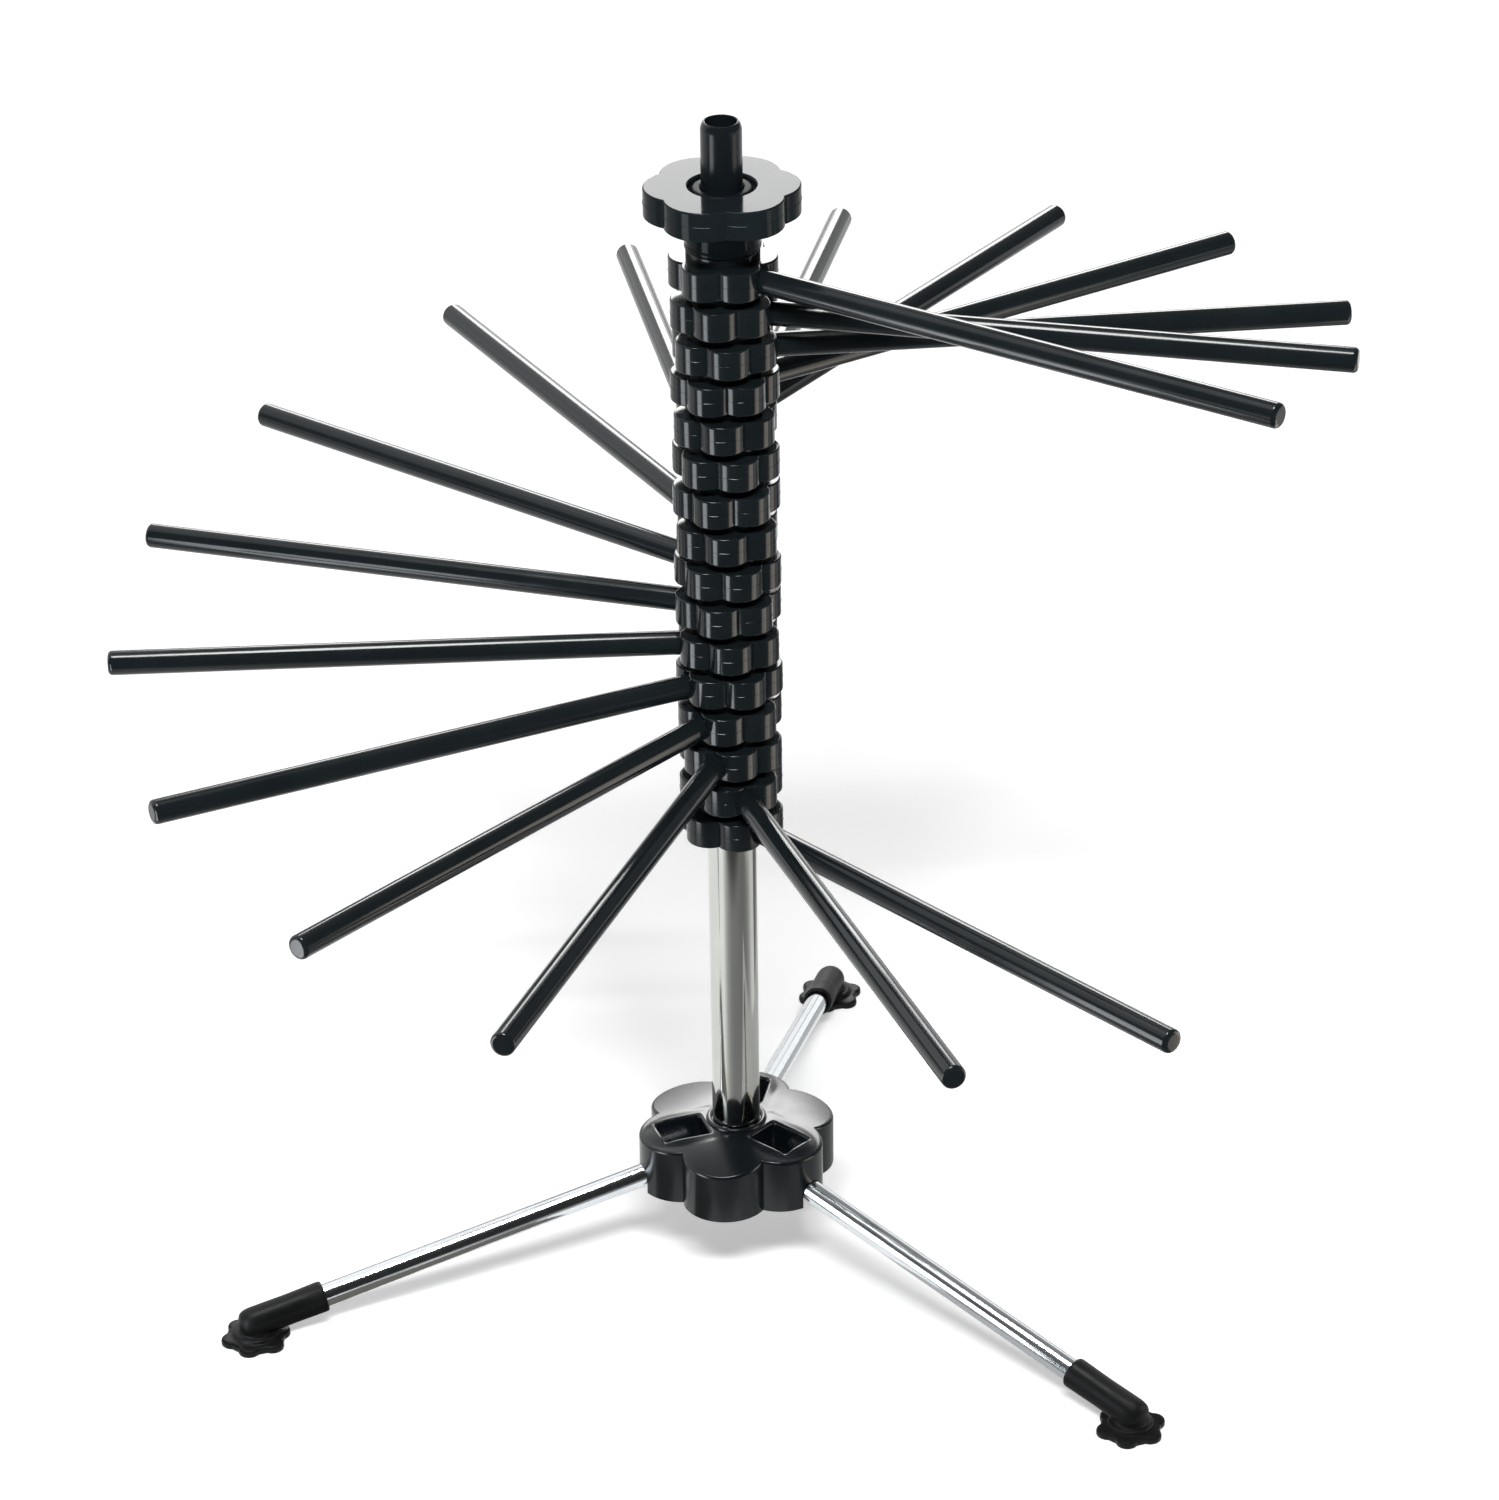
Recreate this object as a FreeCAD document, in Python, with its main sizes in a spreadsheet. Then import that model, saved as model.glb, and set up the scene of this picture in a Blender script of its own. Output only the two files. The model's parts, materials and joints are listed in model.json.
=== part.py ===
import FreeCAD
import Part
import Sketcher
import os

# Pasta drying rack: sixteen hub-and-rod arms turn on an upright tube that stands on a folding tripod.
# Millimetres, +Z up, origin on the floor under the tube's axis, rear leg towards +Y.

doc = FreeCAD.newDocument("pasta_drying_rack")

# Driving dimensions: name, value, what it measures
SIZES = [
    ("running_fit", 0.08, "radial play of a piece that turns on a tube or pin"),
    ("seat_fit", 0.02, "radial play of a piece that is pressed home"),
    ("free_gap", 0.3, "clearance between pieces that pass each other"),
    ("tube_dia", 20, "outside of the upright tube"),
    ("tube_wall", 0.8, "wall of the upright tube"),
    ("tube_show", 138, "bare tube between the base's collar and the lowest hub"),
    ("hub_height", 16, "height of one hub with the boss that the next hub sits on"),
    ("hub_boss_dia", 29.4, "round boss through a hub"),
    ("hub_lobe_height", 12.2, "height of a hub's lobes"),
    ("hub_gap", 0.2, "play between two stacked hubs"),
    ("hub_lobe_offset", 12.3, "hub axis to the axis of a lobe"),
    ("hub_lobe_radius", 9.4, "radius of a hub lobe"),
    ("arm_reach", 250, "tube axis to the tip of a rod"),
    ("rod_dia", 10, "rod diameter"),
    ("rod_height", 5.3, "rod axis above the underside of its hub"),
    ("drive_radius", 13.2, "outer radius of the drive slot in a hub's boss"),
    ("drive_depth", 3, "depth of the drive slot"),
    ("drive_travel", 45, "turn of one hub on the next between stops, degrees"),
    ("lug_angle", 14, "width of a drive lug, degrees"),
    ("arm_16_angle", 324, "direction of the lowest rod, degrees from +X"),
    ("neck_dia", 30.5, "neck under the knob"),
    ("neck_height", 13.5, "height of the neck"),
    ("knob_height", 12, "thickness of the knob's lobed head"),
    ("knob_lobe_offset", 14.5, "tube axis to the axis of a knob lobe"),
    ("knob_lobe_radius", 16.5, "radius of a knob lobe"),
    ("knob_angle", -22, "turn of the knob's first lobe from the top rod, degrees"),
    ("recess_dia", 27, "recess in the knob's top"),
    ("recess_depth", 3, "depth of that recess"),
    ("flange_dia", 24.4, "flange of the top bush"),
    ("flange_height", 2, "thickness of that flange"),
    ("bush_length", 14, "length of the bush inside the tube"),
    ("wand_dia", 16.4, "transfer wand"),
    ("wand_show", 26.5, "wand above the knob"),
    ("wand_edge", 1.4, "bevel round the wand's top"),
    ("wand_core_dia", 12.6, "cored hole in the wand's top"),
    ("wand_core_depth", 40, "depth of that hole"),
    ("base_lobe_offset", 24.3, "tube axis to the axis of a base lobe"),
    ("base_lobe_radius", 18, "radius of a base lobe"),
    ("base_wall_height", 21.6, "base underside to the rim of its low lobes"),
    ("dome_rise", 4.2, "rise of the base's top from that rim to its collar"),
    ("shoulder_edge", 5, "width of the slope round the raised lobes over the legs"),
    ("shoulder_fall", 4, "height of that slope"),
    ("collar_dia", 25.6, "collar and socket boss round the tube"),
    ("collar_rise", 1.3, "collar above the base's top"),
    ("socket_floor", 7.5, "floor of the tube's socket above the base's underside"),
    ("base_wall", 2.6, "wall of the base moulding"),
    ("window_width", 15, "width of the window and channel over a leg"),
    ("window_outer", 33.8, "tube axis to the outer end of a window"),
    ("rib", 3.5, "rib beside a leg's channel, which holds the leg's pin"),
    ("leg_dia", 9.6, "leg bar"),
    ("leg_slope", 11.9, "slope of an open leg, degrees"),
    ("leg_tail", 5, "leg behind its pivot"),
    ("leg_end_inset", 7, "end of a leg short of the elbow over its foot"),
    ("pivot_dia", 4, "leg pivot pin"),
    ("pivot_radius", 22, "tube axis to a leg's pivot"),
    ("pivot_rise", 10.3, "pivot above the base's underside"),
    ("foot_radius", 212.2, "tube axis to the middle of a foot pad"),
    ("elbow_height", 8.7, "leg axis above the floor over the pad"),
    ("sleeve_dia", 13.2, "rubber sleeve and heel of a boot"),
    ("sleeve_length", 31, "elbow to the mouth of the sleeve"),
    ("pad_height", 3.6, "thickness of a foot pad"),
    ("pad_core_dia", 24.4, "round middle of a foot pad"),
    ("pad_lobe_offset", 10.1, "pad axis to the axis of a pad lobe"),
    ("pad_lobe_radius", 4.6, "radius of a pad lobe"),
]

# How far each rod stands clockwise of the one below it with the rack fanned out, from the top arm down
FAN_STEPS = [21.5, 19, 27, 22.5, 23, 21.5, 18.5, 23.5, 21.5, 19.5, 23, 23, 21, 39.5, 23]
ARM_COUNT = len(FAN_STEPS) + 1
HUB_LOBES = 6
PAD_LOBES = 6
LEG_ANGLES = {"rear": 90, "left": 210, "right": 330}

SIZES += [
    (f"fan_step_{k:02d}", step, f"rod {k} from rod {k + 1}, degrees")
    for k, step in enumerate(FAN_STEPS, start=1)
]
sheet = doc.addObject("Spreadsheet::Sheet", "Sizes")
for row, (name, value, meaning) in enumerate(SIZES, start=1):
    sheet.set(f"A{row}", meaning)
    sheet.set(f"B{row}", str(value))
    sheet.setAlias(f"B{row}", name)
doc.recompute()

# Sizes and heights that several pieces share, as expressions
HUB_PITCH = "(Sizes.hub_height + Sizes.hub_gap)"
TUBE_RADIUS = "(Sizes.tube_dia / 2)"
TUBE_BORE = "(Sizes.tube_dia / 2 - Sizes.tube_wall)"
TURNING_BORE = "(Sizes.tube_dia / 2 + Sizes.running_fit)"
SEATED_BORE = "(Sizes.tube_dia / 2 + Sizes.seat_fit)"
PIVOT_HOLE = "(Sizes.pivot_dia / 2 + Sizes.running_fit)"
LEG_LENGTH = "((Sizes.foot_radius - Sizes.pivot_radius) / cos(Sizes.leg_slope))"
PIVOT_Z = "(Sizes.elbow_height + (Sizes.foot_radius - Sizes.pivot_radius) * tan(Sizes.leg_slope))"
BASE_Z = f"({PIVOT_Z} - Sizes.pivot_rise)"
BASE_HEIGHT = "(Sizes.base_wall_height + Sizes.dome_rise)"
COLLAR_HEIGHT = f"({BASE_HEIGHT} + Sizes.collar_rise)"
TUBE_FOOT_Z = f"({BASE_Z} + Sizes.socket_floor)"
STACK_Z = f"({BASE_Z} + {COLLAR_HEIGHT} + Sizes.tube_show)"
KNOB_Z = f"({STACK_Z} + {ARM_COUNT} * {HUB_PITCH})"
KNOB_TOP = "(Sizes.neck_height + Sizes.knob_height)"
RECESS_FLOOR = f"({KNOB_TOP} - Sizes.recess_depth)"
TUBE_TOP_Z = f"({KNOB_Z} + {RECESS_FLOOR} + Sizes.free_gap)"
LUG_HEIGHT = "(Sizes.drive_depth - Sizes.free_gap)"
LUG_START = "(180 + Sizes.drive_travel / 2 - Sizes.lug_angle / 2)"
LUG_PLAY = "(asin(Sizes.free_gap / Sizes.tube_dia * 2) / 1 deg)"


def number(expression):
    """What an expression comes to with the sheet as it stands."""
    return float(sheet.evalExpression(expression))


def about_y(angle):
    return f"rotation(vector(0; 1; 0); {angle})"


def about_z(angle):
    return f"rotation(vector(0; 0; 1); {angle})"


ALONG_X = about_y("90")
ALONG_Y = "rotation(vector(1; 0; 0); -90)"


def at(x="0", y="0", z="0", turn=about_z("0")):
    """A placement, as an expression."""
    return f"placement(vector({x}; {y}; {z}); {turn})"


def new_body(label, placement):
    body = doc.addObject("PartDesign::Body", label)
    body.Label = label
    body.setExpression("Placement", placement)
    return body


def origin_feature(body, role):
    return next(feature for feature in body.Origin.OriginFeatures if feature.Role == role)


def primitive(body, kind, name, placement=at(), **sizes):
    """Adds or cuts a cylinder or box whose sizes are expressions."""
    feature = body.newObject(f"PartDesign::{kind}", name)
    for size, expression in sizes.items():
        feature.setExpression(size, expression)
    feature.setExpression("Placement", placement)
    return feature


def polar(body, name, original, count):
    """Repeats a feature round the body's Z axis."""
    pattern = body.newObject("PartDesign::PolarPattern", name)
    pattern.Originals = [original]
    pattern.Axis = (origin_feature(body, "Z_Axis"), [""])
    pattern.Angle = 360
    pattern.Occurrences = count
    body.Tip = pattern


def hold(sketch, kind, name, geometry, corner, expression):
    """Holds a corner of a sketch at a distance from the origin."""
    index = sketch.addConstraint(
        Sketcher.Constraint(kind, -1, 1, geometry, corner, number(expression))
    )
    sketch.renameConstraint(index, name)
    sketch.setExpression(f"Constraints.{name}", expression)


def upright_sketch(body, name, points, closed=True):
    """Straight lines through points in the XZ plane, each point given as expressions for out and up."""
    sketch = body.newObject("Sketcher::SketchObject", name)
    sketch.AttachmentSupport = (origin_feature(body, "XZ_Plane"), [""])
    sketch.MapMode = "FlatFace"
    corners = [FreeCAD.Vector(number(out), number(up), 0) for out, up in points]
    ends = corners[1:] + corners[:1] if closed else corners[1:]
    for start, end in zip(corners, ends):
        sketch.addGeometry(Part.LineSegment(start, end))
    lines = len(ends)
    for i in range(lines if closed else lines - 1):
        sketch.addConstraint(Sketcher.Constraint("Coincident", i, 2, (i + 1) % lines, 1))
    for i, (out, up) in enumerate(points):
        line, corner = (i, 1) if i < lines else (lines - 1, 2)
        for kind, axis, expression in (("DistanceX", -2, out), ("DistanceY", -1, up)):
            if expression == "0":
                sketch.addConstraint(Sketcher.Constraint("PointOnObject", line, corner, axis))
            else:
                hold(sketch, kind, f"{kind}_{i}", line, corner, expression)
    return sketch


def turned(body, kind, name, sketch, axis="V_Axis"):
    """Revolution or Groove: the sketch turned about an axis of its own."""
    feature = body.newObject(f"PartDesign::{kind}", name)
    feature.Profile = sketch
    feature.ReferenceAxis = (sketch, [axis])
    feature.Angle = 360
    body.Tip = feature
    return feature


def rod_angle(k):
    """Direction of a rod: the lowest one's, less the steps up to it."""
    steps = "".join(f" - Sizes.fan_step_{n:02d}" for n in range(k, ARM_COUNT))
    return f"(Sizes.arm_16_angle{steps})"


def drive_lug(body):
    """Lug under a hub or under the knob's neck: it runs in the slot of the hub below and takes it along."""
    primitive(
        body,
        "AdditiveCylinder",
        "DriveLug",
        at(z=f"-{LUG_HEIGHT}", turn=about_z(LUG_START)),
        Radius="Sizes.drive_radius - Sizes.free_gap",
        Height=LUG_HEIGHT,
        Angle="Sizes.lug_angle",
    )


def tube_bore(body, radius, top):
    """Hole for the tube, through a hub or the knob and its lug."""
    primitive(
        body,
        "SubtractiveCylinder",
        "TubeBore",
        at(z=f"-{LUG_HEIGHT}"),
        Radius=radius,
        Height=f"{top} + {LUG_HEIGHT}",
    )


def make_arm(k):
    """Hub and rod in one moulding; the rod leaves the hub between two lobes, along the body's X axis."""
    height = f"{STACK_Z} + {ARM_COUNT - k} * {HUB_PITCH}"
    body = new_body(f"arm_{k:02d}", at(z=height, turn=about_z(rod_angle(k))))
    primitive(
        body,
        "AdditiveCylinder",
        "HubBoss",
        Radius="Sizes.hub_boss_dia / 2",
        Height="Sizes.hub_height",
    )
    lobe = primitive(
        body,
        "AdditiveCylinder",
        "HubLobe",
        at(
            f"Sizes.hub_lobe_offset * cos({180 / HUB_LOBES})",
            f"Sizes.hub_lobe_offset * sin({180 / HUB_LOBES})",
        ),
        Radius="Sizes.hub_lobe_radius",
        Height="Sizes.hub_lobe_height",
    )
    polar(body, "HubLobes", lobe, HUB_LOBES)
    primitive(
        body,
        "AdditiveCylinder",
        "Rod",
        at(z="Sizes.rod_height", turn=ALONG_X),
        Radius="Sizes.rod_dia / 2",
        Height="Sizes.arm_reach",
    )
    primitive(
        body,
        "SubtractiveCylinder",
        "DriveSlot",
        at(
            z="Sizes.hub_height - Sizes.drive_depth",
            turn=about_z(f"({LUG_START} - Sizes.drive_travel - {LUG_PLAY})"),
        ),
        Radius="Sizes.drive_radius",
        Height="Sizes.drive_depth",
        Angle=f"Sizes.drive_travel + Sizes.lug_angle + 2 * {LUG_PLAY}",
    )
    # The lowest hub is pressed on the tube and carries the others
    if k < ARM_COUNT:
        drive_lug(body)
    tube_bore(body, TURNING_BORE if k < ARM_COUNT else SEATED_BORE, "Sizes.hub_height")
    return body


def make_knob():
    """Lobed turning knob with its neck; the lug under the neck takes the top arm along."""
    body = new_body("top_knob", at(z=KNOB_Z, turn=about_z(f"({rod_angle(1)} + Sizes.knob_angle)")))
    primitive(body, "AdditiveCylinder", "Neck", Radius="Sizes.neck_dia / 2", Height=KNOB_TOP)
    lobe = primitive(
        body,
        "AdditiveCylinder",
        "KnobLobe",
        at("Sizes.knob_lobe_offset", z="Sizes.neck_height"),
        Radius="Sizes.knob_lobe_radius",
        Height="Sizes.knob_height",
    )
    polar(body, "KnobLobes", lobe, HUB_LOBES)
    primitive(
        body,
        "SubtractiveCylinder",
        "Recess",
        at(z=RECESS_FLOOR),
        Radius="Sizes.recess_dia / 2",
        Height="Sizes.recess_depth",
    )
    drive_lug(body)
    tube_bore(body, TURNING_BORE, KNOB_TOP)
    return body


def make_bush():
    """Flanged bush pressed into the top of the tube: it keeps the knob down and guides the wand."""
    body = new_body("top_bush", at(z=TUBE_TOP_Z))
    bore = "(Sizes.wand_dia / 2 + Sizes.running_fit)"
    outside = f"({TUBE_BORE} - Sizes.seat_fit)"
    outline = [
        (bore, "-Sizes.bush_length"),
        (outside, "-Sizes.bush_length"),
        (outside, "0"),
        ("Sizes.flange_dia / 2", "0"),
        ("Sizes.flange_dia / 2", "Sizes.flange_height"),
        (bore, "Sizes.flange_height"),
    ]
    turned(body, "Revolution", "Bush", upright_sketch(body, "BushOutline", outline))
    return body


def make_wand():
    """Loose transfer wand, cored out at its top; it stands inside the tube on the floor of the socket."""
    foot = f"({TUBE_FOOT_Z} + Sizes.free_gap)"
    body = new_body("transfer_wand", at(z=foot))
    length = f"({KNOB_Z} + {KNOB_TOP} + Sizes.wand_show - {foot})"
    outline = [
        ("0", "0"),
        ("Sizes.wand_dia / 2", "0"),
        ("Sizes.wand_dia / 2", f"({length} - Sizes.wand_edge)"),
        ("(Sizes.wand_dia / 2 - Sizes.wand_edge)", length),
        ("Sizes.wand_core_dia / 2", length),
        ("Sizes.wand_core_dia / 2", f"({length} - Sizes.wand_core_depth)"),
        ("0", f"({length} - Sizes.wand_core_depth)"),
    ]
    turned(body, "Revolution", "Wand", upright_sketch(body, "WandOutline", outline))
    return body


def make_tube():
    """Upright steel tube, pressed into the base's socket."""
    body = new_body("column_tube", at(z=TUBE_FOOT_Z))
    length = f"({TUBE_TOP_Z} - {TUBE_FOOT_Z})"
    outline = [(TUBE_BORE, "0"), (TUBE_RADIUS, "0"), (TUBE_RADIUS, length), (TUBE_BORE, length)]
    turned(body, "Revolution", "Tube", upright_sketch(body, "TubeOutline", outline))
    return body


def make_base():
    """Lobed base moulding: a domed shell with a tube socket and three open channels for the legs."""
    body = new_body("base_hub", at(z=BASE_Z, turn=about_z(LEG_ANGLES["rear"])))
    legs = len(LEG_ANGLES)
    between = 180 / legs
    offset = "Sizes.base_lobe_offset"
    radius = "Sizes.base_lobe_radius"
    reach = f"({offset} + {radius})"
    low_lobe_axis = at(f"{offset} * cos({between})", f"{offset} * sin({between})")

    primitive(body, "AdditiveCylinder", "Core", Radius=offset, Height=BASE_HEIGHT)
    low_lobe = primitive(
        body, "AdditiveCylinder", "LowLobe", low_lobe_axis, Radius=radius, Height=BASE_HEIGHT
    )
    polar(body, "LowLobes", low_lobe, legs)

    # Each low lobe falls in one plane from the collar to its rim
    fall = f"(atan(Sizes.dome_rise / ({reach} - Sizes.collar_dia / 2)) / 1 deg)"
    slope = primitive(
        body,
        "SubtractiveBox",
        "LobeSlope",
        at(
            f"(Sizes.collar_dia / 2 * cos({between}) + {reach} * sin({between}))",
            f"(Sizes.collar_dia / 2 * sin({between}) - {reach} * cos({between}))",
            BASE_HEIGHT,
            f"{about_z(between)} * {about_y(fall)}",
        ),
        Length=reach,
        Width=f"2 * {reach}",
        Height=reach,
    )
    polar(body, "LobeSlopes", slope, legs)
    cavity = primitive(
        body,
        "SubtractiveCylinder",
        "Cavity",
        low_lobe_axis,
        Radius=f"{radius} - Sizes.base_wall",
        Height="Sizes.base_wall_height - Sizes.base_wall",
    )
    polar(body, "Cavities", cavity, legs)

    # Raised shoulder over each leg, on an axis of its own
    shoulder_top = f"({reach} - Sizes.shoulder_edge)"
    outline = upright_sketch(
        body,
        "ShoulderOutline",
        [
            (offset, "0"),
            (reach, "0"),
            (reach, f"({BASE_HEIGHT} - Sizes.shoulder_fall)"),
            (shoulder_top, BASE_HEIGHT),
            (offset, BASE_HEIGHT),
        ],
    )
    axis_start = FreeCAD.Vector(number(offset), 0, 0)
    axis = outline.addGeometry(Part.LineSegment(axis_start, axis_start + FreeCAD.Vector(0, 1, 0)), True)
    outline.addConstraint(Sketcher.Constraint("Vertical", axis))
    outline.addConstraint(Sketcher.Constraint("PointOnObject", axis, 1, -1))
    hold(outline, "DistanceX", "lobe_axis", axis, 1, offset)
    shoulder = turned(body, "Revolution", "Shoulder", outline, "Axis0")
    polar(body, "Shoulders", shoulder, legs)

    # Ribs either side of each leg, then the channel between them, open above as a window
    ribs_width = "(Sizes.window_width + 2 * Sizes.rib)"
    ribs = primitive(
        body,
        "AdditiveBox",
        "Ribs",
        at(y=f"-{ribs_width} / 2"),
        Length="Sizes.window_outer",
        Width=ribs_width,
        Height="Sizes.base_wall_height",
    )
    polar(body, "RibPairs", ribs, legs)
    channel = primitive(
        body,
        "SubtractiveBox",
        "Channel",
        at(y="-Sizes.window_width / 2"),
        Length="Sizes.window_outer",
        Width="Sizes.window_width",
        Height=BASE_HEIGHT,
    )
    polar(body, "Channels", channel, legs)

    # Arched notch in the outer wall: the leg swings down through it
    notch_width = "(Sizes.leg_dia + 2 * Sizes.free_gap)"
    arch = primitive(
        body,
        "SubtractiveCylinder",
        "NotchArch",
        at("Sizes.pivot_radius", z="Sizes.pivot_rise", turn=about_y("(90 + Sizes.leg_slope)")),
        Radius=f"{notch_width} / 2",
        Height=reach,
    )
    polar(body, "NotchArches", arch, legs)
    sides = primitive(
        body,
        "SubtractiveBox",
        "NotchSides",
        at(
            f"(Sizes.pivot_radius - {reach} * sin(Sizes.leg_slope))",
            f"-{notch_width} / 2",
            f"(Sizes.pivot_rise - {reach} * cos(Sizes.leg_slope))",
            about_y("Sizes.leg_slope"),
        ),
        Length=f"2 * {reach}",
        Width=notch_width,
        Height=reach,
    )
    polar(body, "Notches", sides, legs)
    pin_hole = primitive(
        body,
        "SubtractiveCylinder",
        "PinHole",
        at("Sizes.pivot_radius", f"-{ribs_width} / 2", "Sizes.pivot_rise", ALONG_Y),
        Radius="Sizes.pivot_dia / 2 + Sizes.seat_fit",
        Height=ribs_width,
    )
    polar(body, "PinHoles", pin_hole, legs)

    primitive(
        body, "AdditiveCylinder", "Collar", Radius="Sizes.collar_dia / 2", Height=COLLAR_HEIGHT
    )
    primitive(
        body,
        "SubtractiveCylinder",
        "TubeSocket",
        at(z="Sizes.socket_floor"),
        Radius=SEATED_BORE,
        Height=COLLAR_HEIGHT,
    )
    return body


def on_leg(angle, out, up, slope="0"):
    """A placement on a leg's radial line, X running outwards along the slope."""
    return at(
        f"{out} * cos({angle})",
        f"{out} * sin({angle})",
        up,
        f"{about_z(angle)} * {about_y(slope)}",
    )


def make_leg(side, angle):
    """Leg bar, drilled across for its pivot pin; the body's origin is on the pivot."""
    body = new_body(f"leg_{side}", on_leg(angle, "Sizes.pivot_radius", PIVOT_Z, "Sizes.leg_slope"))
    primitive(
        body,
        "AdditiveCylinder",
        "Bar",
        at("-Sizes.leg_tail", turn=ALONG_X),
        Radius="Sizes.leg_dia / 2",
        Height=f"Sizes.leg_tail + {LEG_LENGTH} - Sizes.leg_end_inset",
    )
    primitive(
        body,
        "SubtractiveCylinder",
        "PivotHole",
        at(y="-Sizes.leg_dia", turn=ALONG_Y),
        Radius=PIVOT_HOLE,
        Height="2 * Sizes.leg_dia",
    )
    return body


def make_pin(side, angle):
    """Pivot pin, pressed into the two ribs beside the leg's channel."""
    pin = doc.addObject("Part::Cylinder", f"leg_pin_{side}")
    pin.Label = f"leg_pin_{side}"
    length = "(Sizes.window_width + 2 * Sizes.rib)"
    pin.setExpression("Radius", "Sizes.pivot_dia / 2")
    pin.setExpression("Height", length)
    pin.setExpression(
        "Placement",
        at(
            f"Sizes.pivot_radius * cos({angle}) + {length} / 2 * sin({angle})",
            f"Sizes.pivot_radius * sin({angle}) - {length} / 2 * cos({angle})",
            PIVOT_Z,
            f"{about_z(angle)} * {ALONG_Y}",
        ),
    )
    return pin


def make_boot(side, angle):
    """Rubber boot: a sleeve on the leg's end, bent to a heel that stands on a lobed pad."""
    body = new_body(f"boot_{side}", on_leg(angle, "Sizes.foot_radius", "0"))
    primitive(
        body,
        "AdditiveCylinder",
        "PadCore",
        Radius="Sizes.pad_core_dia / 2",
        Height="Sizes.pad_height",
    )
    lobe = primitive(
        body,
        "AdditiveCylinder",
        "PadLobe",
        at("Sizes.pad_lobe_offset"),
        Radius="Sizes.pad_lobe_radius",
        Height="Sizes.pad_height",
    )
    polar(body, "PadLobes", lobe, PAD_LOBES)

    # Heel and sleeve are one round section swept up from the floor and back along the leg
    route = upright_sketch(
        body,
        "SleeveRoute",
        [
            ("0", "0"),
            ("0", "Sizes.elbow_height"),
            (
                "(-Sizes.sleeve_length * cos(Sizes.leg_slope))",
                "(Sizes.elbow_height + Sizes.sleeve_length * sin(Sizes.leg_slope))",
            ),
        ],
        closed=False,
    )
    section = body.newObject("Sketcher::SketchObject", "SleeveSection")
    section.AttachmentSupport = (origin_feature(body, "XY_Plane"), [""])
    section.MapMode = "FlatFace"
    section.addGeometry(Part.Circle())
    section.addConstraint(Sketcher.Constraint("Coincident", 0, 3, -1, 1))
    width = section.addConstraint(Sketcher.Constraint("Diameter", 0, number("Sizes.sleeve_dia")))
    section.renameConstraint(width, "width")
    section.setExpression("Constraints.width", "Sizes.sleeve_dia")
    sleeve = body.newObject("PartDesign::AdditivePipe", "Sleeve")
    sleeve.Profile = section
    sleeve.Spine = (route, ["Edge1", "Edge2"])
    sleeve.Transition = "Right corner"
    body.Tip = sleeve
    primitive(
        body,
        "SubtractiveCylinder",
        "LegSocket",
        at(
            "-Sizes.leg_end_inset * cos(Sizes.leg_slope)",
            z="Sizes.elbow_height + Sizes.leg_end_inset * sin(Sizes.leg_slope)",
            turn=about_y("(Sizes.leg_slope - 90)"),
        ),
        Radius="Sizes.leg_dia / 2 + Sizes.seat_fit",
        Height="Sizes.sleeve_length",
    )
    return body


pieces = [make_base(), make_tube()]
pieces += [make_arm(k) for k in range(ARM_COUNT, 0, -1)]
pieces += [make_knob(), make_bush(), make_wand()]
for side, angle in LEG_ANGLES.items():
    pieces += [make_leg(side, angle), make_pin(side, angle), make_boot(side, angle)]
doc.recompute()

# Every piece has to be one sound solid before any file is written
broken = [o.Label for o in doc.Objects if {"Invalid", "Error"} & set(o.State)]
broken += [p.Label for p in pieces if p.Shape.isNull() or not p.Shape.isValid()]
broken += [p.Label for p in pieces if len(p.Shape.Solids) != 1]
if broken:
    raise RuntimeError(f"these failed: {sorted(set(broken))}")

os.makedirs("parts", exist_ok=True)
for piece in pieces:
    piece.Shape.exportStep(f"parts/{piece.Label}.step")
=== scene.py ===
import bmesh
import bpy
import json
import math
from mathutils import Matrix, Vector


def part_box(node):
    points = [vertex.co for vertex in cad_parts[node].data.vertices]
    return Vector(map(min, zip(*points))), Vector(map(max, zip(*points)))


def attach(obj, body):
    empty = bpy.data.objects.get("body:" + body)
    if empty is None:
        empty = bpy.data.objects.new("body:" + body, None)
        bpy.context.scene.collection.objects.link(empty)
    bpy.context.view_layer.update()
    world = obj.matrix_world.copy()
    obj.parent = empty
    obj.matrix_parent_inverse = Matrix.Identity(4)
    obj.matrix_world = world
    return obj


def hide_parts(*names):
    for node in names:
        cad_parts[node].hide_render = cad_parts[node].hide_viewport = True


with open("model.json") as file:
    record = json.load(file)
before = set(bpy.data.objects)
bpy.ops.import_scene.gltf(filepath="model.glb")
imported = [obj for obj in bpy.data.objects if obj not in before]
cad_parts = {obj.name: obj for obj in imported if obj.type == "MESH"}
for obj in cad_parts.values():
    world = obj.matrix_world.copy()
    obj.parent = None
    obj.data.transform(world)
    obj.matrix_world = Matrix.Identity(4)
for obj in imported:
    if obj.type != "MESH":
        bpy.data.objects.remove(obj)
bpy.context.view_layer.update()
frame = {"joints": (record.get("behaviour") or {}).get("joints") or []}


# Base: a flower-shaped shell of black ABS, injection moulded in one shot and open underneath.
# Three lobes rise to soft shoulders round the windows over the legs; the three between them fall
# away from the collar that the tube is pressed into.
MM = 0.001
LEG_TURNS = {"rear": math.radians(90), "left": math.radians(210), "right": math.radians(330)}
BASE_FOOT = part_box("base_hub")[0].z
COLLAR_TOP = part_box("base_hub")[1].z
BASE_TOP = COLLAR_TOP - 1.3 * MM
BASE_LOBE_OFFSET = 24.3 * MM
BASE_LOBE_RADIUS = 18 * MM
BASE_REACH = BASE_LOBE_OFFSET + BASE_LOBE_RADIUS
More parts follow.
